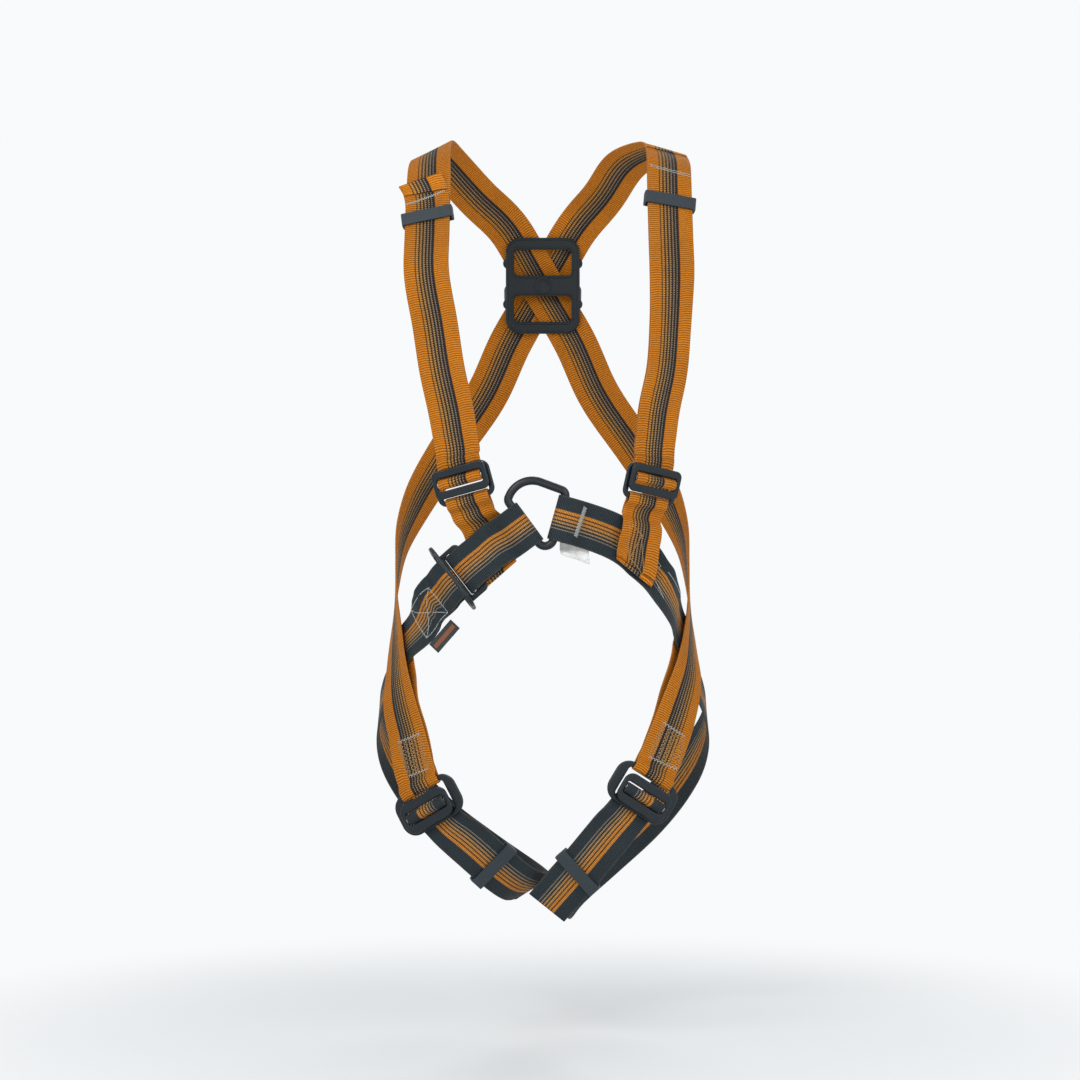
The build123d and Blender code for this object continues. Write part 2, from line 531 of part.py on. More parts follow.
LEG_SLIDE_REACH = LEG_FRAME_HEIGHT / 2 + 6.0
STRAPS = {**main_straps(), **belts(), **link_straps(), **leg_straps()}


# --- hardware ------------------------------------------------------------------------------------

def plate_with(length, height, corner, windows, thick=BUCKLE_THICK):
    """Rounded plate lying on z = 0 with windows (length, height, corner, v of its middle)."""
    outline = RectangleRounded(length, height, corner)
    for wide, high, inner, v in windows:
        outline -= Pos(0, v) * RectangleRounded(wide, high, inner)
    body = extrude(outline, thick)
    edges = body.faces().filter_by(Plane.XY).edges()
    return fillet(edges, EDGE_ROUND if thick == BUCKLE_THICK else thick / 3)


def slide_plate(length, height, corner, window=WINDOW_HEIGHT):
    return plate_with(length, height, corner, [(WINDOW_LENGTH, window, 2.5, 0.0)])


def frame_plate(length, height, corner, inner, end=FRAME_BAR):
    window = (length - 2 * end, height - 2 * FRAME_BAR, inner, 0.0)
    return plate_with(length, height, corner, [window])


def roller():
    """Round bar that butts between the ends of a slide's window, along x."""
    return extrude(Plane(origin=(-WINDOW_LENGTH / 2, 0, 0), z_dir=(1, 0, 0)) * Circle(ROLLER_R), WINDOW_LENGTH)


def ring_of(corners, radii, diameter):
    """Closed ring of round bar through rounded corners (u, v) in the plane z = 0."""
    corners = [np.array(c) for c in corners]
    parts, ends = [], []
    for i, (c, r) in enumerate(zip(corners, radii)):
        before, after = unit(corners[i - 1] - c), unit(corners[(i + 1) % len(corners)] - c)
        half = math.acos(np.dot(before, after)) / 2
        cut = r / math.tan(half)
        middle = c + unit(before + after) * (r / math.sin(half) - r)
        ends.append((c + before * cut, middle, c + after * cut))
    for i, (start, middle, end) in enumerate(ends):
        parts.append(ThreePointArc(tuple(start), tuple(middle), tuple(end)))
        parts.append(Line(tuple(end), tuple(ends[(i + 1) % len(ends)][0])))
    path = Wire([edge for part in parts for edge in part.edges()])
    section = Plane(origin=path @ 0, z_dir=path % 0) * Circle(diameter / 2)
    return sweep(section, path=path)


def keeper():
    """Loop round two layers of webbing; its middle plane is z = 0."""
    wide = WEB_WIDTH + 2 * KEEPER_SIDE_AIR
    high = 2 * WEB_THICK + LAYER_GAP + 2 * KEEPER_AIR
    outer = Rectangle(wide + 2 * KEEPER_WALL, high + 2 * KEEPER_WALL)
    outer = fillet(outer.vertices(), KEEPER_WALL * 1.2)
    inner = fillet(Rectangle(wide, high).vertices(), 0.8)
    loop = extrude(outer - inner, KEEPER_HEIGHT / 2, both=True)
    return Rot(90, 0, 0) * loop


def layers_at(sections, z):
    """Sections of a strap's front layers interpolated at height z, facing away from the body."""
    found = []
    for (p, w, n), (p1, w1, n1) in zip(sections, sections[1:]):
        if (p[2] - z) * (p1[2] - z) <= 0 and p[1] < -60:
            t = (z - p[2]) / (p1[2] - p[2])
            n = n + (n1 - n) * t
            found.append((p + (p1 - p) * t, w, n if n[1] < 0 else -n))
    return found


def keeper_seats():
    """Seats on the middle of the two layers each keeper holds."""
    seats = {}
    for keeper_name, z in KEEPER_Z.items():
        place, name = keeper_name.split("_")
        strap = STRAPS[("front_strap_" if place == "shoulder" else "leg_strap_") + name]
        (p, w, n), (p1, _, n1) = layers_at(strap, z)
        seat = Seat((p + p1) / 2, n + n1, w if w[0] > 0 else -w)
        skew = math.radians(KEEPER_SKEW[keeper_name])
        seats[keeper_name] = Seat(seat.o, seat.n, seat.u * math.cos(skew) + seat.v * math.sin(skew))
    return seats


def placed(seat, shape, u=0.0, v=0.0, n=0.0):
    return seat.plane(u, v, n).location * shape


def leaning(seat, lean_deg, u=0.0, v=0.0, n=0.0):
    """The seat's plane turned about u, so that its v tips towards n."""
    a = math.radians(lean_deg)
    way = seat.v * math.cos(a) + seat.n * math.sin(a)
    return Seat(seat.at(u, v, n), np.cross(seat.u, way), seat.u)


KEEPER_Z = {"shoulder_right": 327.0, "shoulder_left": 343.0}
KEEPER_BELOW = {"leg_right": 35.0, "leg_left": 55.0}    # clear height between leg frame and keeper
KEEPER_Z.update({keeper_name: LEG_SEAT[keeper_name[4:]].o[2] - LEG_FRAME_HEIGHT / 2 - below
                 for keeper_name, below in KEEPER_BELOW.items()})
DEE_HALF = DEE_INSIDE / 2 + DEE_WIRE / 2
DEE_DROP = DEE_LEG + DEE_HALF
WAIST_LEAN = 72.0         # the waist frame stands this far out of the belt's plane
WAIST_SHIFT = 4.0         # and sits this far to one side of its belt


def hardware():
    pieces = {}
    chest_slide = slide_plate(CHEST_SLIDE_LENGTH, CHEST_SLIDE_HEIGHT, CHEST_SLIDE_CORNER)
    chest_frame = frame_plate(CHEST_FRAME_LENGTH, CHEST_FRAME_HEIGHT, CHEST_FRAME_CORNER,
                              WINDOW_CORNER["chest"])
    leg_slide = slide_plate(LEG_SLIDE_LENGTH, LEG_SLIDE_HEIGHT, LEG_SLIDE_CORNER)
    leg_frame = frame_plate(LEG_FRAME_LENGTH, LEG_FRAME_HEIGHT, LEG_FRAME_CORNER, WINDOW_CORNER["leg"],
                            LEG_FRAME_END)
    waist_frame = frame_plate(LEG_FRAME_LENGTH, LEG_FRAME_HEIGHT, LEG_FRAME_CORNER, WINDOW_CORNER["waist"])
    for name in SIGN:
        seat = CHEST_SEAT[name]
        pieces[f"chest_slide_{name}"] = placed(seat, chest_slide, n=SLIDE_N)
        pieces[f"chest_roller_{name}"] = placed(seat, roller(), n=ROLLER_N)
        pieces[f"chest_frame_{name}"] = placed(seat, chest_frame, CHEST_SHIFT[name], -FRAME_DROP, FRAME_N)
        seat = LEG_SEAT[name]
        pieces[f"leg_slide_{name}"] = placed(seat, leg_slide, n=SLIDE_N)
        pieces[f"leg_roller_{name}"] = placed(seat, roller(), n=ROLLER_N)
        pieces[f"leg_frame_{name}"] = placed(seat, leg_frame, LEG_SHIFT[name], FRAME_DROP, FRAME_N)
    pieces["waist_slide"] = placed(WAIST_SEAT, slide_plate(
        CHEST_SLIDE_LENGTH, CHEST_SLIDE_HEIGHT, CHEST_SLIDE_CORNER, WINDOW_HEIGHT - 1.2), n=WAIST_SLIDE_N)
    pieces["waist_roller"] = placed(WAIST_SEAT, roller(), n=WAIST_ROLLER_N)
    standing = leaning(WAIST_SEAT, WAIST_LEAN, 0.0, HINGE_V, HINGE_N)
    pieces["waist_frame"] = placed(standing, waist_frame, WAIST_SHIFT, (LEG_FRAME_HEIGHT - FRAME_BAR) / 2,
                                   -BUCKLE_THICK / 2)
    pieces["dorsal_plate"] = placed(DORSAL_SEAT, plate_with(
        PLATE_WIDTH, PLATE_HEIGHT, PLATE_CORNER,
        [(*PLATE_WINDOW, 5.0, side * (PLATE_WINDOW[1] + PLATE_BRIDGE) / 2) for side in (1, -1)], PLATE_THICK))
    dee = ring_of([(-DEE_HALF, 0), (DEE_HALF, 0), (DEE_HALF, DEE_DROP), (-DEE_HALF, DEE_DROP)],
                  [7.0, 7.0, DEE_HALF - 0.1, DEE_HALF - 0.1], DEE_WIRE)
    hanging = leaning(DORSAL_SEAT, 180.0 - DEE_LEAN, n=DEE_N)
    pieces["dorsal_ring"] = placed(hanging, dee)
    front_ring = ring_of([RING_FOOT, RING_LEFT, RING_BOW, RING_RIGHT], RING_RADII, RING_WIRE)
    pieces["front_ring"] = placed(RING_SEAT, front_ring, n=RING_N)
    hip = STRAPS["waist_belt_hip_side"]
    lower = [p + w * math.copysign(WEB_WIDTH / 2, -w[2]) for p, w, n in hip]    # the belt's lower edge
    w = unit(np.cross(TAB_ALONG, TAB_FACING))
    w *= math.copysign(1.0, -w[2])
    n = np.cross(TAB_ALONG, w)
    edge = lower[TAB_SECTION] + w * (TAB_GAP + TAB_HEIGHT / 2)
    tab = extrude(fillet(Rectangle(TAB_HEIGHT, TAB_LENGTH).vertices(), 1.0), TAB_THICK / 2, both=True)
    pieces["side_tab"] = placed(Seat(edge, n, w), tab)
    label = [(np.array(point, float), np.array(LABEL_ACROSS)) for point in LABEL_HANG]
    pieces["care_label"] = ribbon(faced(label), LABEL_WIDTH, LABEL_THICK)
    for name, seat in keeper_seats().items():
        pieces[f"{name}_keeper"] = placed(seat, keeper())
    return pieces


def main():
    os.makedirs("parts", exist_ok=True)
    pieces = {name: ribbon(sections) for name, sections in STRAPS.items()}
    pieces.update(hardware())
    for name, shape in pieces.items():
        print(f"{name:24s} {shape.volume:9.0f} mm3  valid {shape.is_valid}")
        export_step(shape, f"parts/{name}.step")


if __name__ == "__main__":
    main()
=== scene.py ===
import bmesh
import bpy
import math
import numpy as np
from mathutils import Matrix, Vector, noise


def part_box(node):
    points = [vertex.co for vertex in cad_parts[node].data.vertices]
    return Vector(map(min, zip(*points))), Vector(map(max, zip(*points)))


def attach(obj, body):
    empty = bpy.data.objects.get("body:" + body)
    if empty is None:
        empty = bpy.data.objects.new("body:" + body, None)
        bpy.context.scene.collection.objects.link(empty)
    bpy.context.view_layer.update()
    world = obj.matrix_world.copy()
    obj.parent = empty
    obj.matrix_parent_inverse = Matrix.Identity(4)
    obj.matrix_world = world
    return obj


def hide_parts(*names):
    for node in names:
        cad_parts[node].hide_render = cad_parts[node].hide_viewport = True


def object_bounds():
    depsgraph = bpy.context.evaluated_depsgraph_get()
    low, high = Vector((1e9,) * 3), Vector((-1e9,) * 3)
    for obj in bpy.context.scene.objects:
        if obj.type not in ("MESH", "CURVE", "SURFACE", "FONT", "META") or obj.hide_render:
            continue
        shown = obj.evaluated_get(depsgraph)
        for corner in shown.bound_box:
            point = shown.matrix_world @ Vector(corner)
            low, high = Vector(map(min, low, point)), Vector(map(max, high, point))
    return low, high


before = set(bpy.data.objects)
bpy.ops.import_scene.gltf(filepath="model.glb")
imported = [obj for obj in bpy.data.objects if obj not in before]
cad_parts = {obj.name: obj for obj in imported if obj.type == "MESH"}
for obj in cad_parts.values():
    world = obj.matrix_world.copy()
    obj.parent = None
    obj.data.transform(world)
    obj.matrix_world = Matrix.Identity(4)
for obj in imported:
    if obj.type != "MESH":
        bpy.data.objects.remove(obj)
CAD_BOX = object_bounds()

# Full body safety harness, worn. Lengths here are millimetres until a mesh is made.
# "right" and "left" are the wearer's; the front faces -Y.
MM = 0.001
WEB_WIDTH, WEB_THICK = 46.0, 1.8
HALF = WEB_WIDTH / 2
PITCH = 2.6               # spacing of the rings of a strap's mesh
EVENING = 11.0            # how far along a strap its course is averaged
THREAD = 0.34             # radius of the sewing thread, a little over the real one so that it shows
THREAD_SIDES = 6
STITCH = 3.2              # length of a lock stitch


# ---------------------------------------------------------------------------------------------
# materials

def linear(hex_colour):
    """sRGB hex to linear, with alpha."""
    channels = [int(hex_colour[i:i + 2], 16) / 255 for i in (0, 2, 4)]
    return [c / 12.92 if c <= 0.04045 else ((c + 0.055) / 1.055) ** 2.4 for c in channels] + [1.0]


def add(tree, kind, inputs=None, **settings):
    """Adds a node with its settings, values and links, and returns its first output."""
    node = tree.nodes.new("ShaderNode" + kind)
    for key, value in settings.items():
        setattr(node, key, value)
    for socket, value in (inputs or {}).items():
        if isinstance(value, bpy.types.NodeSocket):
            tree.links.new(value, node.inputs[socket])
        else:
            node.inputs[socket].default_value = value
    return node.outputs[0] if node.outputs else node


def ramp_stops(socket, stops):
    """Sets the stops (place, linear colour) of the colour ramp that the socket belongs to."""
    elements = socket.node.color_ramp.elements
    while len(elements) > 1:
        elements.remove(elements[-1])
    elements[0].position, elements[0].color = stops[0]
    for place, colour in stops[1:]:
        elements.new(place).color = colour


def material(name):
    """An empty node material and its node tree."""
    made = bpy.data.materials.new(name)
    made.use_nodes = True
    made.node_tree.nodes.clear()
    return made, made.node_tree


def finish_with(tree, shader):
    add(tree, "OutputMaterial", {"Surface": shader})


def woven(name, ground, lines, start, rib_pitch, depth):
    """Polyester webbing woven in cross ribs, matt with a soft sheen, with coloured warp lines
    (width mm, hex) side by side from start mm. depth is how much painted shade darkens the valleys between
    ribs, the crests getting a lighter painted highlight."""
    made, tree = material(name)
    uv = add(tree, "UVMap", uv_map="webbing")
    apart = add(tree, "SeparateXYZ", {0: uv})
    across, along = apart, apart.node.outputs[1]
    # the ribs lean a little one way and back: 0.05 of a rib per mm, 7.7 mm from peak to valley
    chevron = add(tree, "Math", {0: across, 1: 7.7}, operation="PINGPONG")
    slant = add(tree, "Math", {0: chevron, 1: 0.05}, operation="MULTIPLY")
    phase = add(tree, "Math", {0: along, 1: 1 / rib_pitch, 2: slant}, operation="MULTIPLY_ADD")
    turn = add(tree, "Math", {0: phase, 1: 2 * math.pi}, operation="MULTIPLY")
    wave = add(tree, "Math", {0: turn}, operation="SINE")
    rib = add(tree, "Math", {0: wave, 1: 0.5, 2: 0.5}, operation="MULTIPLY_ADD")
    # warp yarns lie 0.75 mm apart, drawn at 1.5 mm so that they show
    yarn_turn = add(tree, "Math", {0: across, 1: 2 * math.pi / 1.5}, operation="MULTIPLY")
    yarn = add(tree, "Math", {0: yarn_turn}, operation="SINE")
    # each warp yarn floats over its rib, so the lines have toothed edges, about 0.4 mm either way
    toothed = add(tree, "Math", {0: wave, 1: -0.378, 2: 0.42}, operation="MULTIPLY_ADD")
    place = add(tree, "Math", {0: across, 1: toothed}, operation="ADD")
    share = add(tree, "Math", {0: place, 1: 1 / WEB_WIDTH}, operation="MULTIPLY")
    stripes = add(tree, "ValToRGB", {0: share})
    stripes.node.color_ramp.interpolation = "CONSTANT"
    stops, at = [(0.0, linear(ground))], start
    for width, colour in lines:
        stops.append((at / WEB_WIDTH, linear(colour)))
        at += width
    ramp_stops(stripes, stops + [(at / WEB_WIDTH, linear(ground))])
    # uneven dye and handling: pale and dark patches 70 mm broad, and a mottle of 2.4 mm
    where = add(tree, "TexCoord").node.outputs["Object"]
    broad = add(tree, "TexNoise", {"Vector": where, "Scale": 14.0, "Detail": 3.0, "Roughness": 0.6})
    fine = add(tree, "TexNoise", {"Vector": where, "Scale": 420.0, "Detail": 2.0, "Roughness": 0.7})
    patch = add(tree, "MapRange", {0: broad, 1: 0.3, 2: 0.7, 3: 0.9, 4: 1.08})
    mottle = add(tree, "MapRange", {0: fine, 1: 0.3, 2: 0.7, 3: 0.88, 4: 1.1})
    # painted light on the ribs: painted shade darkens the valleys and a painted highlight lightens the crests
    rib_painted_light = add(tree, "MapRange", {0: rib, 1: 0.0, 2: 0.8, 3: 1 - depth, 4: 1 + depth * 0.55})
    shade = add(tree, "Math", {0: patch, 1: mottle}, operation="MULTIPLY")
    shade = add(tree, "Math", {0: shade, 1: rib_painted_light}, operation="MULTIPLY")
    # painted light on turned ends: a painted highlight makes the fold paler and a painted shadow makes the
    # step below it darker
    tone = add(tree, "Attribute", attribute_name="tone").node.outputs["Fac"]
    fold = add(tree, "Math", {0: tone, 1: 1.0}, operation="ADD")
    shade = add(tree, "Math", {0: shade, 1: fold}, operation="MULTIPLY")
    # the selvages are packed tighter, and their outer millimetre or so rubs a little paler
    middle = add(tree, "Math", {0: across, 1: HALF}, operation="SUBTRACT")
    off = add(tree, "Math", {0: middle}, operation="ABSOLUTE")
    edge = add(tree, "MapRange", {0: off, 1: HALF - 1.6, 2: HALF - 0.2, 3: 0.0, 4: 0.16})
    fuzz = add(tree, "Math", {0: edge, 1: fine}, operation="MULTIPLY")
    dyed = add(tree, "VectorMath", {0: stripes, "Scale": shade}, operation="SCALE")
    faded = add(tree, "Mix", {0: fuzz, 6: dyed, 7: linear("A8957C")}, data_type="RGBA").node.outputs[2]
    relief = add(tree, "Math", {0: yarn, 1: 0.22, 2: rib}, operation="MULTIPLY_ADD")
    relief = add(tree, "Math", {0: fine, 1: 0.35, 2: relief}, operation="MULTIPLY_ADD")
    bump = add(tree, "Bump", {"Strength": 0.55, "Distance": 0.0004, "Height": relief})
    gloss = add(tree, "MapRange", {0: rib, 1: 0.0, 2: 1.0, 3: 0.9, 4: 0.66})
    shader = add(tree, "BsdfPrincipled", {
        "Base Color": faded, "Roughness": gloss, "Normal": bump, "IOR": 1.5,
        "Specular IOR Level": 0.22, "Sheen Weight": 0.07, "Sheen Roughness": 0.4,
        "Sheen Tint": linear("E8D9C4")})
    finish_with(tree, shader)
    return made


def coated(name, colour, worn_and_glint_colour, rough, grain):
    """Steel with a satin dark electro-coat: even, slightly grained, paler on its corners, partly rubbed
    through to dull steel where the webbing and other hardware touch it and partly a painted highlight for the
    glints along its edges. grain is in grains per metre."""
    made, tree = material(name)
    where = add(tree, "TexCoord").node.outputs["Object"]
    fine = add(tree, "TexNoise", {"Vector": where, "Scale": grain, "Detail": 3.0, "Roughness": 0.6})
    broad = add(tree, "TexNoise", {"Vector": where, "Scale": 90.0, "Detail": 4.0, "Roughness": 0.65})
    # the paler corners are partly real wear and partly a painted highlight standing in for edge glints
    corner = add(tree, "NewGeometry").node.outputs["Pointiness"]
    rubbed_and_glint = add(tree, "MapRange", {0: corner, 1: 0.56, 2: 0.68, 3: 0.0, 4: 1.0})
    patchy = add(tree, "MapRange", {0: broad, 1: 0.45, 2: 0.62, 3: 0.0, 4: 0.5})
    wear_and_glint = add(tree, "Math", {0: rubbed_and_glint, 1: patchy}, operation="MULTIPLY")
    tone = add(tree, "MapRange", {0: broad, 1: 0.3, 2: 0.7, 3: 0.84, 4: 1.18})
    paint = add(tree, "VectorMath", {0: linear(colour)[:3], "Scale": tone}, operation="SCALE")
    shown = add(tree, "Mix", {0: wear_and_glint, 6: paint, 7: linear(worn_and_glint_colour)}, data_type="RGBA").node.outputs[2]
    gloss = add(tree, "MapRange", {0: broad, 1: 0.3, 2: 0.7, 3: rough - 0.06, 4: rough + 0.08})
    bump = add(tree, "Bump", {"Strength": 0.25, "Distance": 0.00012, "Height": fine})
    finish_with(tree, add(tree, "BsdfPrincipled", {
        "Base Color": shown, "Roughness": gloss, "Metallic": 0.25, "Normal": bump,
        "Coat Weight": 0.12, "Coat Roughness": 0.22, "Specular IOR Level": 0.38}))
    return made


def bare_steel(name):
    """Drawn steel bar, zinc bright, with scratches about 1.1 mm apart from the webbing."""
    made, tree = material(name)
    where = add(tree, "TexCoord").node.outputs["Object"]
    scratch = add(tree, "TexNoise", {"Vector": where, "Scale": 900.0, "Detail": 3.0, "Roughness": 0.7})
    gloss = add(tree, "MapRange", {0: scratch, 1: 0.3, 2: 0.7, 3: 0.22, 4: 0.42})
    bump = add(tree, "Bump", {"Strength": 0.3, "Distance": 0.0001, "Height": scratch})
    finish_with(tree, add(tree, "BsdfPrincipled", {
        "Base Color": linear("C4C8CA"), "Metallic": 1.0, "Roughness": gloss, "Normal": bump}))
    return made


def moulded(name, colour, rough, grain):
    """Injection moulded plastic, eroded mould finish: an even fine grain, paler on its corners, partly from
    handling and partly as a painted highlight along its edges.
    grain is in grains per metre."""
    made, tree = material(name)
    where = add(tree, "TexCoord").node.outputs["Object"]
    cells = add(tree, "TexNoise", {"Vector": where, "Scale": grain, "Detail": 2.0, "Roughness": 0.5})
    broad = add(tree, "TexNoise", {"Vector": where, "Scale": 60.0, "Detail": 3.0, "Roughness": 0.6})
    # paler corners: partly handling wear, partly a painted highlight along the edges
    corner = add(tree, "NewGeometry").node.outputs["Pointiness"]
    rubbed_and_glint = add(tree, "MapRange", {0: corner, 1: 0.56, 2: 0.7, 3: 0.0, 4: 0.3})
    tone = add(tree, "MapRange", {0: broad, 1: 0.3, 2: 0.7, 3: 0.82, 4: 1.2})
    body = add(tree, "VectorMath", {0: linear(colour)[:3], "Scale": tone}, operation="SCALE")
    shown = add(tree, "Mix", {0: rubbed_and_glint, 6: body, 7: linear("6E7B83")}, data_type="RGBA").node.outputs[2]
    gloss = add(tree, "MapRange", {0: broad, 1: 0.3, 2: 0.7, 3: rough - 0.05, 4: rough + 0.08})
    bump = add(tree, "Bump", {"Strength": 0.3, "Distance": 0.00015, "Height": cells})
    finish_with(tree, add(tree, "BsdfPrincipled", {
        "Base Color": shown, "Roughness": gloss, "Normal": bump, "IOR": 1.49,
        "Specular IOR Level": 0.28}))
    return made


def twisted_thread(name, colour):
    """Bonded polyester sewing thread: three plies twisted, with a faint shine."""
    made, tree = material(name)
    uv = add(tree, "UVMap", uv_map="webbing")
    apart = add(tree, "SeparateXYZ", {0: uv})
    lay = add(tree, "Math", {0: apart, 1: 3.0, 2: apart.node.outputs[1]}, operation="MULTIPLY_ADD")
    turn = add(tree, "Math", {0: lay, 1: 2 * math.pi}, operation="MULTIPLY")
    ply = add(tree, "Math", {0: turn}, operation="SINE")
    tone = add(tree, "MapRange", {0: ply, 1: -1.0, 2: 1.0, 3: 0.72, 4: 1.05})
    shown = add(tree, "VectorMath", {0: linear(colour)[:3], "Scale": tone}, operation="SCALE")
    bump = add(tree, "Bump", {"Strength": 0.4, "Distance": 0.0001, "Height": ply})
    finish_with(tree, add(tree, "BsdfPrincipled", {
        "Base Color": shown, "Roughness": 0.55, "Normal": bump, "Sheen Weight": 0.2}))
    return made


def label_cloth(name, colour):
    """Thin satin label cloth, weft 0.4 mm apart drawn at 0.8 mm."""
    made, tree = material(name)
    uv = add(tree, "UVMap", uv_map="webbing")
    apart = add(tree, "SeparateXYZ", {0: uv})
    turn = add(tree, "Math", {0: apart.node.outputs[1], 1: 2 * math.pi / 0.8}, operation="MULTIPLY")
    weft = add(tree, "Math", {0: turn}, operation="SINE")
    where = add(tree, "TexCoord").node.outputs["Object"]
    soil = add(tree, "TexNoise", {"Vector": where, "Scale": 120.0, "Detail": 3.0})
    tone = add(tree, "MapRange", {0: soil, 1: 0.3, 2: 0.7, 3: 0.88, 4: 1.02})
    shown = add(tree, "VectorMath", {0: linear(colour)[:3], "Scale": tone}, operation="SCALE")
    bump = add(tree, "Bump", {"Strength": 0.3, "Distance": 0.0001, "Height": weft})
    finish_with(tree, add(tree, "BsdfPrincipled", {
        "Base Color": shown, "Roughness": 0.6, "Normal": bump, "Sheen Weight": 0.15}))
    return made


# Orange webbing: six slate lines that widen towards one edge, with sand lines between them.
ORANGE = woven("orange_polyester_webbing", "B36A10", [
    (1.2, "3B2412"), (2.3, "A5712F"), (1.5, "331F12"), (1.95, "98703C"), (1.8, "2B1C13"), (1.5, "8C6E48"),
    (2.1, "261B16"), (1.1, "806C54"), (2.3, "221B18"), (0.75, "766859"), (3.0, "201D1D")], 11.9, 2.3, 0.55)
# Slate webbing: the same weave with the colours changed over.
SLATE = woven("slate_polyester_webbing", "262F34", [
    (3.2, "B8762B"), (1.1, "2C1D12"), (2.6, "B47733"), (1.3, "281D16"), (2.2, "AC7A40"), (1.6, "241F1C"),
    (1.8, "A17A4E"), (1.8, "212324"), (1.4, "8F7759"), (2.1, "20272B"), (1.0, "7E756A")], 14.4, 1.6, 0.6)
# The coat's grain is 0.7 mm on stampings and 1.1 mm on forgings, and the mould's is 0.9 mm on the
# keepers and 1.4 mm on the plate: coarser than the real ones, so that they show.
STEEL_DARK = coated("satin_black_coated_steel", "0F1A21", "56626A", 0.42, 1400.0)
RING_DARK = coated("forged_coated_ring_steel", "0F191F", "56626A", 0.36, 900.0)
STEEL_BRIGHT = bare_steel("bright_zinc_steel_bar")
KEEPER = moulded("slate_moulded_keeper_plastic", "121B21", 0.5, 1100.0)
PLATE = moulded("black_moulded_plate_plastic", "161E23", 0.5, 700.0)
THREAD_GREY = twisted_thread("grey_polyester_thread", "B9BFBD")
THREAD_SAND = twisted_thread("sand_polyester_thread", "B08A55")
LABEL = label_cloth("white_satin_label_cloth", "ECEDEB")
TAB = label_cloth("black_woven_tab_cloth", "1B2024")
TAB_BAND = label_cloth("orange_woven_tab_band", "7C4522")


# ---------------------------------------------------------------------------------------------
# webbing

def unit(v):
    return v / np.linalg.norm(v, axis=-1, keepdims=True)


def sections_of(node):
    """Cross sections of a CAD strap in order along it: middle, across and face, in mm."""
    width, thick = WEB_WIDTH, WEB_THICK
    weld, thick_slack, width_slack = 0.003, 0.004, 0.01       # how exact the CAD mesh's corners are
    cage = bmesh.new()
    cage.from_mesh(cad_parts[node].data)
    bmesh.ops.remove_doubles(cage, verts=cage.verts, dist=weld * MM)
    cage.verts.index_update()
    points = np.array([v.co for v in cage.verts]) / MM
    edges = np.array([[v.index for v in e.verts] for e in cage.edges])
    cage.free()

    def far(a, b):
        return np.linalg.norm(points[a] - points[b], axis=-1)

    selvages = edges[abs(far(edges[:, 0], edges[:, 1]) - thick) < thick_slack]
    found = []
    for i, (a, b) in enumerate(selvages):
        for c, d in [*selvages[i + 1:], *selvages[i + 1:, ::-1]]:
            off = (far(a, c) - width, far(b, d) - width, far(a, d) - math.hypot(width, thick))
            if max(map(abs, off)) < width_slack:
                found.append((a, b, c, d))
    owner = {corner: i for i, section in enumerate(found) for corner in section}
    # two sections touch where an edge that runs along the strap joins them
    touching = [set() for _ in found]
    for a, b in edges:
        if a in owner and b in owner and owner[a] != owner[b] and far(a, b) < width * 0.8:
            touching[owner[a]].add(owner[b])
            touching[owner[b]].add(owner[a])
    middles = np.array([points[list(section)].mean(0) for section in found])
    order = [next(i for i, near in enumerate(touching) if len(near) == 1)]
    while len(order) < len(found):
        near = [j for j in touching[order[-1]] if j not in order]
        if not near:
            raise RuntimeError(f"{node}: {len(order)} of {len(found)} sections are linked")
        order.append(min(near, key=lambda j: np.linalg.norm(middles[j] - middles[order[-1]])))
    line = []
    for i in order:
        a, b, c, d = points[list(found[i])]
        corners = [(a, b, c, d), (b, a, d, c), (c, d, a, b), (d, c, b, a)]
        if line:
            corners.sort(key=lambda s: sum(np.linalg.norm(p - q) for p, q in zip(s, line[-1])))
        line.append(corners[0])
    a, b, c, d = np.array(line).transpose(1, 0, 2)
    return (a + b + c + d) / 4, unit(a - c), unit(a - b)


def backwards(sections):
    return tuple(part[::-1] for part in sections)


def linked(*nodes):
    """One length of webbing from CAD nodes that lie end to end."""
    whole, *pieces = [sections_of(node) for node in nodes]
    for piece in pieces:
        gap = {(x, y): np.linalg.norm(whole[0][x] - piece[0][y]) for x in (0, -1) for y in (0, -1)}
        x, y = min(gap, key=gap.get)
        if x == 0:
            whole = backwards(whole)
        if y == -1:
            piece = backwards(piece)
        middle, across, face = piece
        across = across * (1 if across[0] @ whole[1][-1] > 0 else -1)
        face = face * (1 if face[0] @ whole[2][-1] > 0 else -1)
        whole = tuple(np.concatenate([old, new[1:]]) for old, new in zip(whole, (middle, across, face)))
    return whole


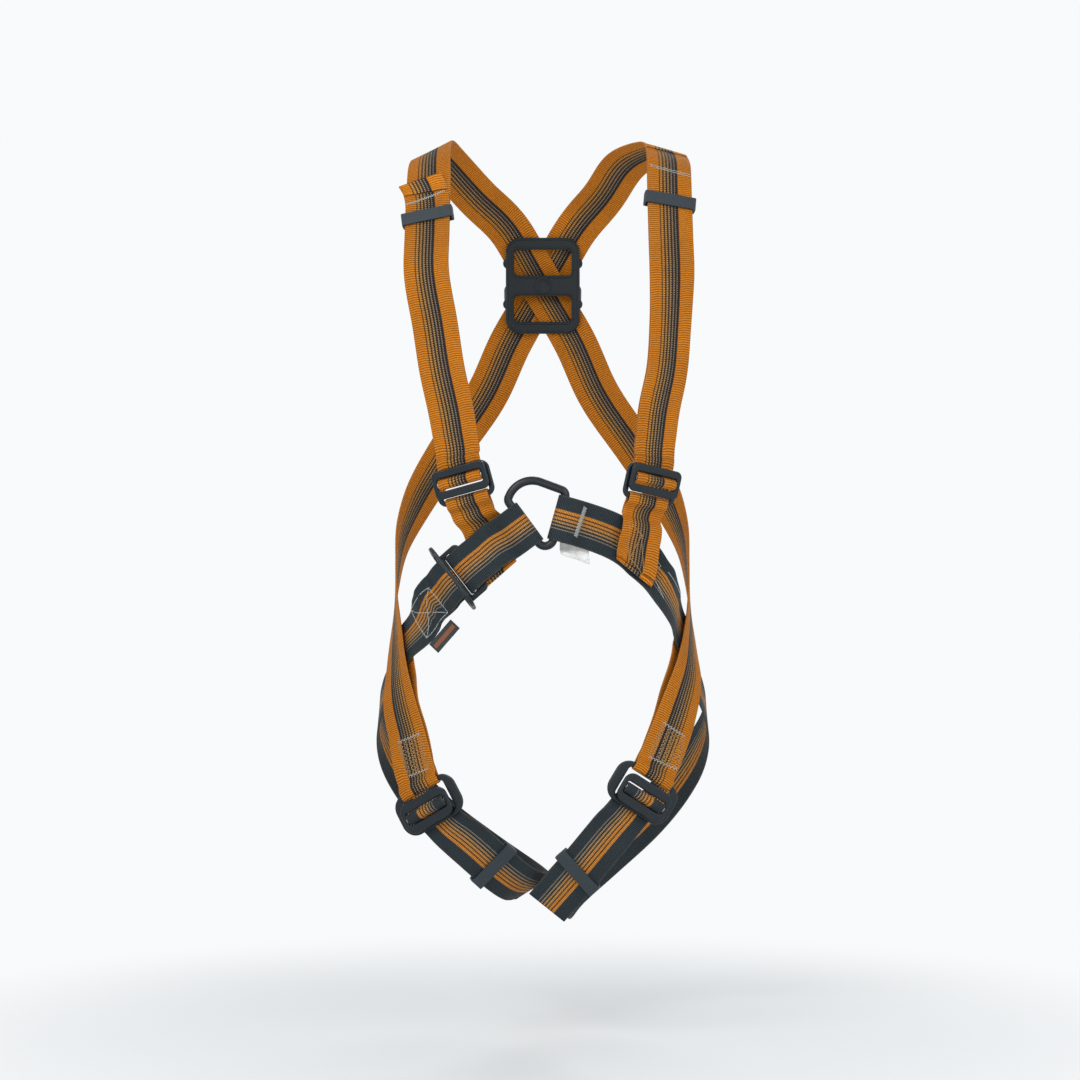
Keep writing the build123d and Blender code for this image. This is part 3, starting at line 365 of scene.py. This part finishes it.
class Strap:
    """A smooth length of webbing through the CAD sections. Places on it are (s, u, h): s along it,
    u across it from -HALF to HALF, h above the middle of its thickness. facing is a place near it and
    the way that u grows there."""

    def __init__(self, sections, facing):
        middle, across, face = sections
        steps = np.linalg.norm(np.diff(middle, axis=0), axis=1)
        knots = np.concatenate([[0], np.cumsum(steps)])
        self.s = np.concatenate([np.linspace(a, b, max(1, round((b - a) / PITCH)), endpoint=False)
                                 for a, b in zip(knots, knots[1:])] + [knots[-1:]])
        across = across.copy()
        slant = {0: across[0] - across[1], -1: across[-1] - across[-2]}      # ends that are cut askew
        across[0], across[-1] = across[1], across[-2]
        self.middle = self.through(knots, middle)
        straight = unit(self.evened(self.through(knots, across)))
        sideways = ((self.evened(self.middle) - self.middle) * straight).sum(1)
        self.middle = self.middle + straight * sideways[:, None]
        travel = unit(np.gradient(self.middle, self.s, axis=0))
        self.face = unit(np.cross(travel, straight))
        self.across = straight
        for end, lean in slant.items():
            share = np.clip(1 - abs(self.s - knots[end]) / steps[end], 0, 1)
            self.across = self.across + lean * share[:, None]
        if (self.face * self.through(knots, face)).sum() < 0:
            self.face = -self.face
        where, way = facing
        if (self.across[self.near(where)] @ np.array(way, float)) < 0:
            self.across = -self.across
        self.length = knots[-1]

    def through(self, knots, values):
        """Cubic curve through values at the knots, its slope at each taken from its neighbours."""
        slopes = np.gradient(values, knots, axis=0)
        i = np.clip(np.searchsorted(knots, self.s, "right") - 1, 0, len(knots) - 2)
        h = (knots[i + 1] - knots[i])[:, None]
        t = (self.s - knots[i])[:, None] / h
        return ((2 * t**3 - 3 * t**2 + 1) * values[i] + (t**3 - 2 * t**2 + t) * h * slopes[i]
                + (3 * t**2 - 2 * t**3) * values[i + 1] + (t**3 - t**2) * h * slopes[i + 1])

    def evened(self, values):
        """The values averaged over the strap's own length near each place."""
        share = np.exp(-((self.s[:, None] - self.s) / EVENING) ** 2)
        return share @ values / share.sum(1, keepdims=True)

    def near(self, point):
        return int(np.argmin(np.linalg.norm(self.middle - np.array(point, float), axis=1)))

    def frame_at(self, s):
        """Middle, across and face at s."""
        return [np.array([np.interp(s, self.s, column) for column in part.T])
                for part in (self.middle, self.across, self.face)]

    def at(self, s, u, h):
        middle, across, face = self.frame_at(s)
        return middle + across * u + unit(face) * h

    def spot(self, x, z):
        """(s, u) of the place that shows at x, z from the front: the foremost layer's."""
        step, slack, margin = 0.4, 0.8, 1.0        # mm: along it, between layers, from a selvage
        fine = np.arange(0, self.length, step)
        middle = np.array([np.interp(fine, self.s, column) for column in self.middle.T]).T
        across = np.array([np.interp(fine, self.s, column) for column in self.across.T]).T
        off, wide = np.array([x, z]) - middle[:, ::2], across[:, ::2]
        u = (off * wide).sum(1) / (wide ** 2).sum(1)
        miss = np.linalg.norm(off - wide * u[:, None], axis=1) + np.maximum(0, abs(u) - HALF)
        depth = middle[:, 1] + across[:, 1] * u
        best = int(np.argmin(np.where(miss < miss.min() + slack, depth + 3 * miss, np.inf)))
        return fine[best], float(np.clip(u[best], margin - HALF, HALF - margin))

    def push_aside(self, first, last, sideways):
        """Moves the end from first to last sideways, most at its tip."""
        share = (self.s - first) / (last - first)
        share = np.clip(1 - share if first == 0.0 else share, 0, 1) ** 1.2
        inside = (self.s >= first) & (self.s <= last)
        self.middle = self.middle + self.across * (sideways * share * inside)[:, None]

    def outward(self, s):
        """+1 where the face that the array points to looks away from the wearer, else -1."""
        middle, _, face = self.frame_at(s)
        return 1 if face @ (middle * [1, 1, 0]) > 0 else -1


def mesh_object(name, points, faces, finish, uvs=None, painted_light_tones=None):
    """Mesh object from points in mm. uvs is one pair and tones one number for each point: painted light, a
    painted highlight above 0 and a painted shadow below.
    """
    mesh = bpy.data.meshes.new(name)
    mesh.from_pydata([tuple(p * MM) for p in np.asarray(points)], [], [tuple(f) for f in faces])
    if uvs is not None:
        layer = mesh.uv_layers.new(name="webbing")
        layer.data.foreach_set("uv", [c for loop in mesh.loops for c in uvs[loop.vertex_index]])
    if painted_light_tones is not None:
        mesh.attributes.new("tone", "FLOAT", "POINT").data.foreach_set("value", painted_light_tones)
    mesh.polygons.foreach_set("use_smooth", [True] * len(mesh.polygons))
    mesh.materials.append(finish)
    made = bpy.data.objects.new(name, mesh)
    bpy.context.scene.collection.objects.link(made)
    return made


def grid_faces(rows, columns, wrap=False):
    """Faces of a grid of points, row after row; wrap joins each row's last point to its first."""
    last = columns if wrap else columns - 1
    return [(r * columns + c, r * columns + (c + 1) % columns, (r + 1) * columns + (c + 1) % columns,
             (r + 1) * columns + c) for r in range(rows - 1) for c in range(last)]


# the webbing's cross section: flat faces, and selvages that round over their last SELVAGE mm
SELVAGE = 1.3
ROUNDED = [HALF - SELVAGE * (1 - math.sin(math.radians(a))) for a in (90, 62, 32, 0)]
WIDTHWISE = ROUNDED + [14.6, 7.8, 0.0, -7.8, -14.6] + [-u for u in ROUNDED[::-1]]

# a turned end: shares of its length where its mesh has rings, and how it differs from the strap
HEM_STEPS = (0, 0.02, 0.05, 0.09, 0.15, 0.22, 0.35, 0.5, 0.65, 0.78, 0.85, 0.91, 0.95, 0.98, 1)
HEM_RIM, HEM_SIDE = 2.2, 1.5          # it rounds down to the strap over this, along and across it
HEM_WEAVE = 1.4                       # its weave lies this far to one side
FOLD_PAINTED_HIGHLIGHT, STEP_PAINTED_SHADOW = 0.22, -0.55    # painted highlight: how much paler it is; painted shadow: how much darker the step below it
STEP_REACH, STEP_RINGS = 0.8, (-1.6, -0.4, 0.4, 1.6)      # half width of the painted shadow at the step, and rings round the step
SWAY, SWAY_LIFT = 1.1, 0.6            # bunched webbing waves this far sideways, and rises this share


def half_thickness(u):
    into = max(0.0, (abs(u) - (HALF - SELVAGE)) / SELVAGE)
    return WEB_THICK / 2 * math.sqrt(max(0.0, 1 - into * into))


def cross_section():
    upper = [(u, half_thickness(u)) for u in WIDTHWISE]
    return upper + [(u, -h) for u, h in upper[-2:0:-1]]


def webbing(name, strap, finish, nodes, hems=(), gathered=None, more=(0.0, 0.0)):
    """The strap's mesh. hems lists (s from, s to, extra thickness) of ends that are turned over and
    sewn down on the outer face; gathered is (s from, s to) where the webbing is bunched up. more is
    how much longer than the strap's course the mesh is at its start and at its end."""
    ring = cross_section()
    points, uvs, painted_light_tones = [], [], []
    places = {low + (high - low) * t for low, high, _ in hems for t in HEM_STEPS}
    steps = [high if low < 1.0 else low for low, high, _ in hems]      # where a turned end stops
    places |= {step + off for step in steps for off in STEP_RINGS}
    first, last = -more[0], strap.length + more[1]
    along = np.unique(np.clip(np.concatenate([strap.s, list(places), [first, last]]), first, last))
    for s in along:
        held = min(max(s, 0.0), strap.length)
        middle, across, face = strap.frame_at(held)
        if s != held:                      # straight on past the end, as its last 3 mm run
            inner = held + math.copysign(3.0, held - s)
            middle = middle + (middle - strap.frame_at(inner)[0]) * abs(s - held) / 3.0
        side, sway = strap.outward(held), 0.0
        if gathered and gathered[0] < s < gathered[1]:
            share = (s - gathered[0]) / (gathered[1] - gathered[0])
            sway = SWAY * math.sin(6 * math.pi * share) * math.sin(math.pi * share)
        turned = any(low <= s <= high for low, high, _ in hems)
        # painted light: a painted highlight on the turned end's fold and a painted shadow along the step
        # below it
        tone = FOLD_PAINTED_HIGHLIGHT if turned else 0.0
        if any(abs(s - step) < STEP_REACH for step in steps):
            tone = STEP_PAINTED_SHADOW
        for u, h in ring:
            for low, high, extra in hems:
                if low <= s <= high and h * side > 0:
                    rim = 1.0 - min(1.0, (s - low) / HEM_RIM, (high - s) / HEM_RIM)
                    h += side * extra * math.sqrt(1.0 - rim ** 2) * min(1.0, (HALF - abs(u)) / HEM_SIDE)
            points.append(middle + across * u + face * (h + SWAY_LIFT * sway))
            uvs.append((u + HALF + sway * (1 + u / HALF) + (HEM_WEAVE if turned else 0.0), s))
            painted_light_tones.append(tone)
    count = len(ring)
    faces = grid_faces(len(along), count, wrap=True)
    for base, flip in ((0, False), ((len(along) - 1) * count, True)):
        for k in range(1, count // 2 + 1):
            a, b, c, d = k - 1, k, (count - k) % count, (count - k + 1) % count
            cap = [base + v for v in dict.fromkeys((a, b, c, d))]
            if len(cap) > 2:
                faces.append(cap if flip else cap[::-1])
    made = mesh_object(name, points, faces, finish, uvs, painted_light_tones=painted_light_tones)
    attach(made, "webbing")
    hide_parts(*nodes)
    return made


# ---------------------------------------------------------------------------------------------
# sewing

def stitches(name, strap, seams, finish=THREAD_GREY):
    """Thread on a strap. seams is a list of chains of places (s, u); each step is one stitch, which
    dives into the webbing at its ends. The thread's plies turn 2.5 times along a stitch."""
    points, uvs, faces = [], [], []
    # shares of a stitch, and the height of the thread's middle over the webbing there
    rise = ((0.0, -0.35), (0.14, 0.18), (0.5, THREAD), (0.86, 0.18), (1.0, -0.35))
    sides = THREAD_SIDES
    for chain in seams:
        for (s0, u0), (s1, u1) in zip(chain, chain[1:]):
            way = strap.outward((s0 + s1) / 2)
            ahead = unit(strap.at(s1, u1, 0) - strap.at(s0, u0, 0))
            base = len(points)
            for t, up in rise:
                s, u = s0 + (s1 - s0) * t, u0 + (u1 - u0) * t
                face = strap.frame_at(s)[2]
                centre = strap.at(s, u, way * (WEB_THICK / 2 + up))
                beside = unit(np.cross(ahead, face))
                for k in range(sides):
                    a = k * 2 * math.pi / sides
                    points.append(centre + (beside * math.cos(a) + face * math.sin(a)) * THREAD)
                    uvs.append((k / sides, t * 2.5))
            faces += [tuple(base + v for v in quad) for quad in grid_faces(len(rise), sides, wrap=True)]
            faces.append([base + k for k in range(sides)][::-1])
            faces.append([base + (len(rise) - 1) * sides + k for k in range(sides)])
    made = mesh_object(name, points, faces, finish, uvs)
    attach(made, "webbing")
    return made


def plain(a, b):
    """Lock stitches from a to b."""
    a, b = np.array(a), np.array(b)
    count = max(1, round(np.linalg.norm(b - a) / STITCH))
    return [tuple(a + (b - a) * i / count) for i in range(count + 1)]


def zigzag(a, b, width, step):
    """Zigzag from a to b; step is short for a dense bar."""
    a, b = np.array(a), np.array(b)
    count = max(2, round(np.linalg.norm(b - a) / step))
    beside = np.array([-(b - a)[1], (b - a)[0]]) / np.linalg.norm(b - a)
    return [tuple(a + (b - a) * i / count + beside * width / 2 * (-1) ** i) for i in range(count + 1)]


def box_seam(strap, corners, waved):
    """A load seam: bars across the webbing at both ends, joined either by waved rows along it or by
    a plain box with its diagonals. The corners are x, z from the front: the first bar's ends, then
    the second bar's in the same order."""
    a, b, c, d = [np.array(strap.spot(*corner)) for corner in corners]
    if not waved:
        sides = ((a, c), (b, d), (a, d), (b, c))
        return [zigzag(a, b, 1.3, 1.7), zigzag(c, d, 1.3, 1.7)], [plain(*ends) for ends in sides]
    bars = [zigzag(a, b, 2.6, 1.9), zigzag(c, d, 2.6, 1.9)]
    shares = (0.0, 0.1, 0.3, 0.5, 0.72, 0.9, 1.0)          # closer together at the selvages
    rows = [zigzag(a + (b - a) * t, c + (d - c) * t, 3.2, 2.1) for t in shares]
    return bars, rows


def end_reach(strap, place, reach):
    """s from and to of the last reach mm at the end that is nearer to place."""
    first, last = (np.linalg.norm(strap.middle[i] - np.array(place)) for i in (0, -1))
    return (0.0, reach) if first < last else (strap.length - reach, strap.length)


def middle_of(node):
    return sum(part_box(node), Vector()) / MM / 2


LEFTWARD = (1, 0, 0)       # towards the wearer's left
# the shoulder straps' loose tails: their turned ends, and how much longer and how far askew they lie
HEM, HEM_EXTRA = {"right": 20.0, "left": 9.0}, 1.3
TAIL_LENGTH = 36.0
TAIL_MORE = {"right": -3.0, "left": 0.0}
TAIL_ASIDE = {"right": -6.5, "left": 0.0}
# the link straps' lower ends: a place near each, how far it is turned over, and how much thicker
LINK_END = {"right": (-46, -160, -60), "left": (80, -160, -60)}
LINK_HEM, LINK_EXTRA = 4.8, {"right": 0.4, "left": 2.6}
GATHER_AT, GATHER = (-112, -68), 22.0     # the hip belt is bunched for this far each side of its seam
straps = {}
for side, other in (("right", "left"), ("left", "right")):
    nodes = [f"front_strap_{side}", f"shoulder_strap_{side}", f"back_strap_{other}", f"thigh_strap_{other}"]
    keeper = middle_of(f"shoulder_{side}_keeper")
    straps[side] = Strap(linked(*nodes), (keeper, LEFTWARD))
    hem = end_reach(straps[side], keeper, HEM[side])
    straps[side].push_aside(*end_reach(straps[side], keeper, TAIL_LENGTH), TAIL_ASIDE[side])
    first = hem[0] == 0.0                   # the tail is at the start of the course
    webbing(f"main_strap_{side}", straps[side], ORANGE, nodes, [(*hem, HEM_EXTRA)],
            more=(TAIL_MORE[side], 0.0) if first else (0.0, TAIL_MORE[side]))
for side in ("right", "left"):
    node = f"link_strap_{side}"
    cut = sections_of(node)
    straps[node] = Strap(cut, (cut[0][0], LEFTWARD))
    low_end = end_reach(straps[node], LINK_END[side], LINK_HEM)
    webbing(f"{node}_webbing", straps[node], ORANGE, [node], [(*low_end, LINK_EXTRA[side])])
    node = f"leg_strap_{side}"
    straps[node] = Strap(sections_of(node), (middle_of(f"leg_{side}_keeper"), (-1, 0, 1)))
    webbing(f"{node}_webbing", straps[node], SLATE, [node])
for node in ("waist_belt_left", "waist_belt_ring_side", "waist_belt_hip_side"):
    straps[node] = Strap(sections_of(node), (middle_of(node), (0, 0, -1)))
    hip = straps[node].spot(*GATHER_AT)[0]
    webbing(f"{node}_webbing", straps[node], SLATE, [node],
            gathered=(hip - GATHER, hip + GATHER) if node == "waist_belt_hip_side" else None)

# load seams of the thigh straps' loops and the hip belt, bars and rows
for name, strap, corners in (
        ("thigh_right", straps["left"], [(-146, -205), (-124, -195), (-135, -239), (-115, -230)]),
        ("thigh_left", straps["right"], [(121, -184), (143, -199), (106, -218), (135, -232)]),
        ("hip_belt", straps["waist_belt_hip_side"], [(-115, -48), (-95, -73), (-136, -72), (-117, -99)])):
    bars, rows = box_seam(strap, corners, waved=name != "hip_belt")
    stitches(f"{name}_seam_bars", strap, bars)
    stitches(f"{name}_seam_rows", strap, rows, THREAD_GREY if name == "hip_belt" else THREAD_SAND)


def seam(name, strap, chains, finish=THREAD_GREY, **kind):
    """Rows through chains of x, z places as they show from the front, zigzag if kind gives its
    width and step, else plain."""
    rows = [[strap.spot(*place) for place in chain] for chain in chains]
    stitches(name, strap, [zigzag(a, b, **kind) if kind else plain(a, b)
                           for row in rows for a, b in zip(row, row[1:])], finish)


seam("tail_right_hem", straps["right"], [[(-141, 340), (-100, 354)]], width=2.6, step=1.3)
seam("tail_left_hem", straps["left"], [[(109, 382.8), (150, 372.2)], [(109.5, 380.6), (150.5, 370)]],
     width=0.5, step=2.6)
seam("belt_left_tack", straps["waist_belt_left"], [[(42, 33), (32, 3.5)]], width=6.2, step=0.8)
seam("link_left_rows", straps["link_strap_left"],
     [[(86, 18), (86, -18)], [(99, 6), (100, -36)], [(86, 18), (99, 5), (87, -18), (99, -34)]], THREAD_SAND)
seam("link_left_hem", straps["link_strap_left"], [[(76, -24), (107, -45)]], THREAD_SAND, width=1.6, step=2.0)
seam("belt_left_rows", straps["waist_belt_left"],
     [[(112, -17), (119, -27), (110, -33), (114, -44), (121, -59)], [(126, -33), (141, -58)]])

# ---------------------------------------------------------------------------------------------
# label and tab

class Plate:
    """Local frame of a flat CAD node: long, wide and thin axes through its middle, mm. The wide axis
    is turned towards outward, the thin one towards the front."""

    def __init__(self, node, outward):
        points = np.array([v.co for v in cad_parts[node].data.vertices]) / MM
        low, high = points.min(0), points.max(0)
        self.centre = (low + high) / 2
        _, self.wide, self.thin = np.linalg.svd(points - points.mean(0), full_matrices=False)[2]
        if self.wide @ np.array(outward, float) < 0:
            self.wide = -self.wide
        if self.thin[1] > 0:
            self.thin = -self.thin
        self.long = np.cross(self.wide, self.thin)
        reach = [(points - self.centre) @ axis for axis in (self.long, self.wide, self.thin)]
        self.centre = self.centre + sum(axis * (r.max() + r.min()) / 2
                                        for axis, r in zip((self.long, self.wide, self.thin), reach))
        self.size = [r.max() - r.min() for r in reach]

    def at(self, x, y, z):
        return self.centre + self.long * x + self.wide * y + self.thin * z


def folded_tab(name, node):
    """Narrow woven tape folded in half lengthwise, its cut edges under the belt's edge, with a band
    of another colour along its front."""
    plate = Plate(node, (0.6, 0, -0.8))
    length, height, thick = plate.size
    tape, band_from, band_width, band_proud = 0.5, 4.4, 4.4, 0.06
    bend = (thick - tape) / 2
    half = height / 2 - thick / 2
    outline = [(-height / 2, bend)] + [(y, bend) for y in np.linspace(-height / 2 + 2, half, 6)]
    outline += [(half + bend * math.sin(a), bend * math.cos(a)) for a in np.linspace(0.4, math.pi - 0.4, 5)]
    outline += [(y, -bend) for y in np.linspace(half, -height / 2, 7)]
    outline = np.array(outline)
    way = unit(np.gradient(outline, axis=0))
    out = np.stack([-way[:, 1], way[:, 0]], 1)
    ring = np.concatenate([outline + out * tape / 2, (outline - out * tape / 2)[::-1]])
    rows = np.linspace(-length / 2, length / 2, 18)

    def waved(x, y, z):
        """Place on the tape, which waves a little more the further it is from the belt."""
        wave = 0.35 * math.sin(x / 5.5) * (1 - abs(x) / length)
        return plate.at(x, y, z + wave * (y + height / 2) / height)

    points = [waved(x, y, z) for x in rows for y, z in ring]
    uvs = [(height / 2 + y, x) for x in rows for y, _ in ring]
    count = len(ring)
    faces = grid_faces(len(rows), count, wrap=True)
    for base in (0, (len(rows) - 1) * count):
        faces += [(base + i, base + i + 1, base + count - 2 - i, base + count - 1 - i)
                  for i in range(count // 2 - 1)]
    made = mesh_object(name, points, faces, TAB, uvs)
    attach(made, "webbing")
    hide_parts(node)
    band = [waved(x, y - height / 2, thick / 2 + band_proud)
            for x in rows[1:-1] for y in (band_from, band_from + band_width)]
    woven_band = mesh_object(f"{name}_band", band, grid_faces(len(rows) - 2, 2), TAB_BAND,
                             [(i % 2 * band_width, i // 2 * 2.0) for i in range(len(band))])
    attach(woven_band, "webbing")


def crumpled_label(name, node, width, thick):
    """Thin cloth sewn under the belt's lower edge, creased by handling."""
    middle = np.array([(30, -106, 2), (31, -106.3, -7), (32, -109.5, -13), (33.5, -111, -16),
                       (34, -114, -20)])
    across = np.repeat(unit(np.array([[0.94, 0.05, -0.33]])), len(middle), 0)
    hang = Strap((middle, across, np.cross(across, unit(np.gradient(middle, axis=0)))), (middle[0], LEFTWARD))
    rows, columns = np.linspace(0, hang.length, 30), np.linspace(-width / 2, width / 2, 34)
    points, uvs = [], []
    for side in (1, -1):
        for s in rows:
            loose = min(1.0, max(0.0, (s - 7) / 12))       # flat while it is under the belt
            for u in columns:
                fold = noise.noise(Vector((u * 0.10, s * 0.13, 1.7))) + 0.5 * abs(noise.noise(
                    Vector((u * 0.21 + s * 0.12, s * 0.2, 6.1))))
                points.append(hang.at(s, u, 2.4 * loose * fold + side * thick / 2))
                uvs.append((u + width / 2, s))
    count = len(columns)
    front = grid_faces(len(rows), count)
    base = len(rows) * count
    faces = front + [tuple(base + i for i in face[::-1]) for face in front]
    rim = list(range(count)) + [r * count + count - 1 for r in range(1, len(rows))]
    rim += [(len(rows) - 1) * count + c for c in range(count - 2, -1, -1)]
    rim += [r * count for r in range(len(rows) - 2, 0, -1)]
    faces += [(a, b, b + base, a + base) for a, b in zip(rim, rim[1:] + rim[:1])]
    made = mesh_object(name, points, faces, LABEL, uvs)
    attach(made, "webbing")
    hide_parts(node)


folded_tab("side_tab_tape", "side_tab")
crumpled_label("care_label_cloth", "care_label", 31.0, 0.5)


# ---------------------------------------------------------------------------------------------
# hardware: the CAD solids with their finishes, and what is moulded on the dorsal plate

FINISH = {"coated_steel": STEEL_DARK, "bare_steel": STEEL_BRIGHT, "keeper_plastic": KEEPER,
          "plate_plastic": PLATE, "label_cloth": LABEL, "tab_cloth": TAB}
for name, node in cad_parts.items():
    slot = node.material_slots[0].name.split(".")[0]
    if slot in FINISH:
        node.material_slots[0].material = RING_DARK if name.endswith("_ring") else FINISH[slot]


def plate_boss(name, plate, at, profile):
    """Round boss on the plate at (x, y), from a profile of (radius, height) pairs."""
    sides = 32
    turns = np.linspace(0, 2 * math.pi, sides, endpoint=False)
    points = [plate.at(at[0] + r * math.cos(a), at[1] + r * math.sin(a), h)
              for r, h in profile for a in turns]
    faces = grid_faces(len(profile), sides, wrap=True)
    faces.append(tuple((len(profile) - 1) * sides + i for i in range(sides)))
    made = mesh_object(name, points, faces, PLATE)
    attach(made, "webbing")


def plate_rib(name, plate, path, height, radius):
    """Half-round rib along a closed path of (x, y) on the plate's face at the given height. It stands
    0.7 of its radius proud."""
    path = np.array(path)
    way = unit(np.roll(path, -1, 0) - np.roll(path, 1, 0))
    out = np.stack([-way[:, 1], way[:, 0]], 1)
    proud, sides = math.copysign(radius * 0.7, height), 7
    points = [plate.at(*(p + o * radius * math.cos(a)), height + proud * math.sin(a))
              for p, o in zip(path, out) for a in np.linspace(0, math.pi, sides)]
    faces = grid_faces(len(path) + 1, sides)
    total = len(points)
    made = mesh_object(name, points, [tuple(i % total for i in face) for face in faces], PLATE)
    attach(made, "webbing")


def rounded(x, y, half_x, half_y, radius):
    """Points of a rounded rectangle about (x, y)."""
    corners = [(1, 1, 0), (-1, 1, 90), (-1, -1, 180), (1, -1, 270)]
    return [(x + sx * (half_x - radius) + radius * math.cos(math.radians(start + a)),
             y + sy * (half_y - radius) + radius * math.sin(math.radians(start + a)))
            for sx, sy, start in corners for a in range(0, 91, 15)]


dorsal = Plate("dorsal_plate", (0, 0, 1))
if dorsal.size[0] > dorsal.size[1]:          # keep x across the plate and y up it
    dorsal.long, dorsal.wide = dorsal.wide, dorsal.long
    dorsal.size = [dorsal.size[1], dorsal.size[0], dorsal.size[2]]
    dorsal.wide = dorsal.wide * math.copysign(1, dorsal.wide[2])
for face_name, side in (("inner", 1), ("outer", -1)):
    top = side * dorsal.size[2] / 2
    plate_rib(f"dorsal_plate_{face_name}_rim", dorsal, rounded(0, 0, 38, 50, 14), top, 1.0)
    for row, y in (("upper", 25), ("lower", -25)):
        plate_rib(f"dorsal_plate_{face_name}_{row}_rib", dorsal, rounded(0, y, 33.2, 16.2, 7), top, 0.9)
    dished = [(9.5, 0), (9.2, 0.8), (7.4, 1.1), (6.8, 0.5), (2, 0.4)]
    plate_boss(f"dorsal_plate_{face_name}_boss", dorsal, (0, 0),
               [(r, top + side * h) for r, h in dished])
LUG = [(4.8, -1.3), (6.0, -0.7), (6.0, 0.7), (4.8, 1.3), (0.4, 1.4)]
for x, hand in ((-37, "right"), (37, "left")):
    for row, y in (("upper", 24), ("lower", -20)):
        plate_boss(f"dorsal_plate_{row}_lug_{hand}", dorsal, (x, y), LUG)

# ---------------------------------------------------------------------------------------------
# room, in metres

FLOOR, WALL = "F1F3F4", "F8FAFB"
FLOOR_BELOW, FLOOR_RADIUS = 0.12, 12
floor_z = CAD_BOX[0].z - FLOOR_BELOW
floor_mesh = bpy.data.meshes.new("floor")
around = [(FLOOR_RADIUS * math.cos(math.radians(a)), FLOOR_RADIUS * math.sin(math.radians(a)), floor_z)
          for a in range(0, 360, 10)]
floor_mesh.from_pydata(around, [], [range(len(around))])
floor = bpy.data.objects.new("floor", floor_mesh)
bpy.context.scene.collection.objects.link(floor)
pale, tree = material("matt_pale_floor")
grain = add(tree, "TexNoise", {"Scale": 6.0, "Detail": 2.0})
tone = add(tree, "MapRange", {0: grain, 1: 0.3, 2: 0.7, 3: 0.98, 4: 1.0})
colour = add(tree, "VectorMath", {0: linear(FLOOR)[:3], "Scale": tone}, operation="SCALE")
near = add(tree, "BsdfPrincipled", {"Base Color": colour, "Roughness": 0.9})
# the floor runs out into the colour of the wall, with no horizon
place = add(tree, "TexCoord").node.outputs["Object"]
reach = add(tree, "VectorMath", {0: place}, operation="LENGTH").node.outputs[1]
away = add(tree, "MapRange", {0: reach, 1: 0.56, 2: 0.95, 3: 0.0, 4: 1.0}, interpolation_type="SMOOTHSTEP")
wall = add(tree, "Emission", {"Color": linear(WALL), "Strength": 1.0})
finish_with(tree, add(tree, "MixShader", {0: away, 1: near, 2: wall}))
floor_mesh.materials.append(pale)

world = bpy.data.worlds.new("studio")
world.use_nodes = True
tree = world.node_tree
tree.nodes.clear()
ray = add(tree, "LightPath").node
# the camera and the metal's reflections see the pale wall, and the harness is lit more softly
rays = {0: ray.outputs["Is Camera Ray"], 1: ray.outputs["Is Glossy Ray"]}
seen = add(tree, "Math", rays, operation="MAXIMUM")
soft = add(tree, "Background", {"Color": linear("F2F6F8"), "Strength": 0.5})
shown = add(tree, "Background", {"Color": linear(WALL), "Strength": 1.0})
add(tree, "OutputWorld", {"Surface": add(tree, "MixShader", {0: seen, 1: soft, 2: shown})})
bpy.context.scene.world = world

# soft lamps that face the harness: place, size in metres, power in watts
for name, place, size, power in (("key", (-1.3, -2.2, 1.7), 1.6, 36.0), ("fill", (1.7, -2.0, 0.9), 1.8, 20.0),
                                 ("back", (0.6, 2.2, 1.8), 1.6, 24.0), ("low", (0.0, -2.2, -0.35), 1.2, 6.0)):
    lamp = bpy.data.lights.new(name, "AREA")
    lamp.shape, lamp.size, lamp.energy = "DISK", size, power
    holder = bpy.data.objects.new(name, lamp)
    holder.location = place
    holder.rotation_euler = (-Vector(place)).to_track_quat("-Z", "Y").to_euler()
    bpy.context.scene.collection.objects.link(holder)

lens = bpy.data.cameras.new("camera")
lens.lens, lens.sensor_width = 96.0, 36.0
camera = bpy.data.objects.new("camera", lens)
camera.location = (-0.003, -3.0, 0.0)
camera.rotation_euler = (math.pi / 2, 0, 0)
bpy.context.scene.collection.objects.link(camera)
bpy.context.scene.camera = camera
bpy.context.scene.view_settings.view_transform = "Standard"
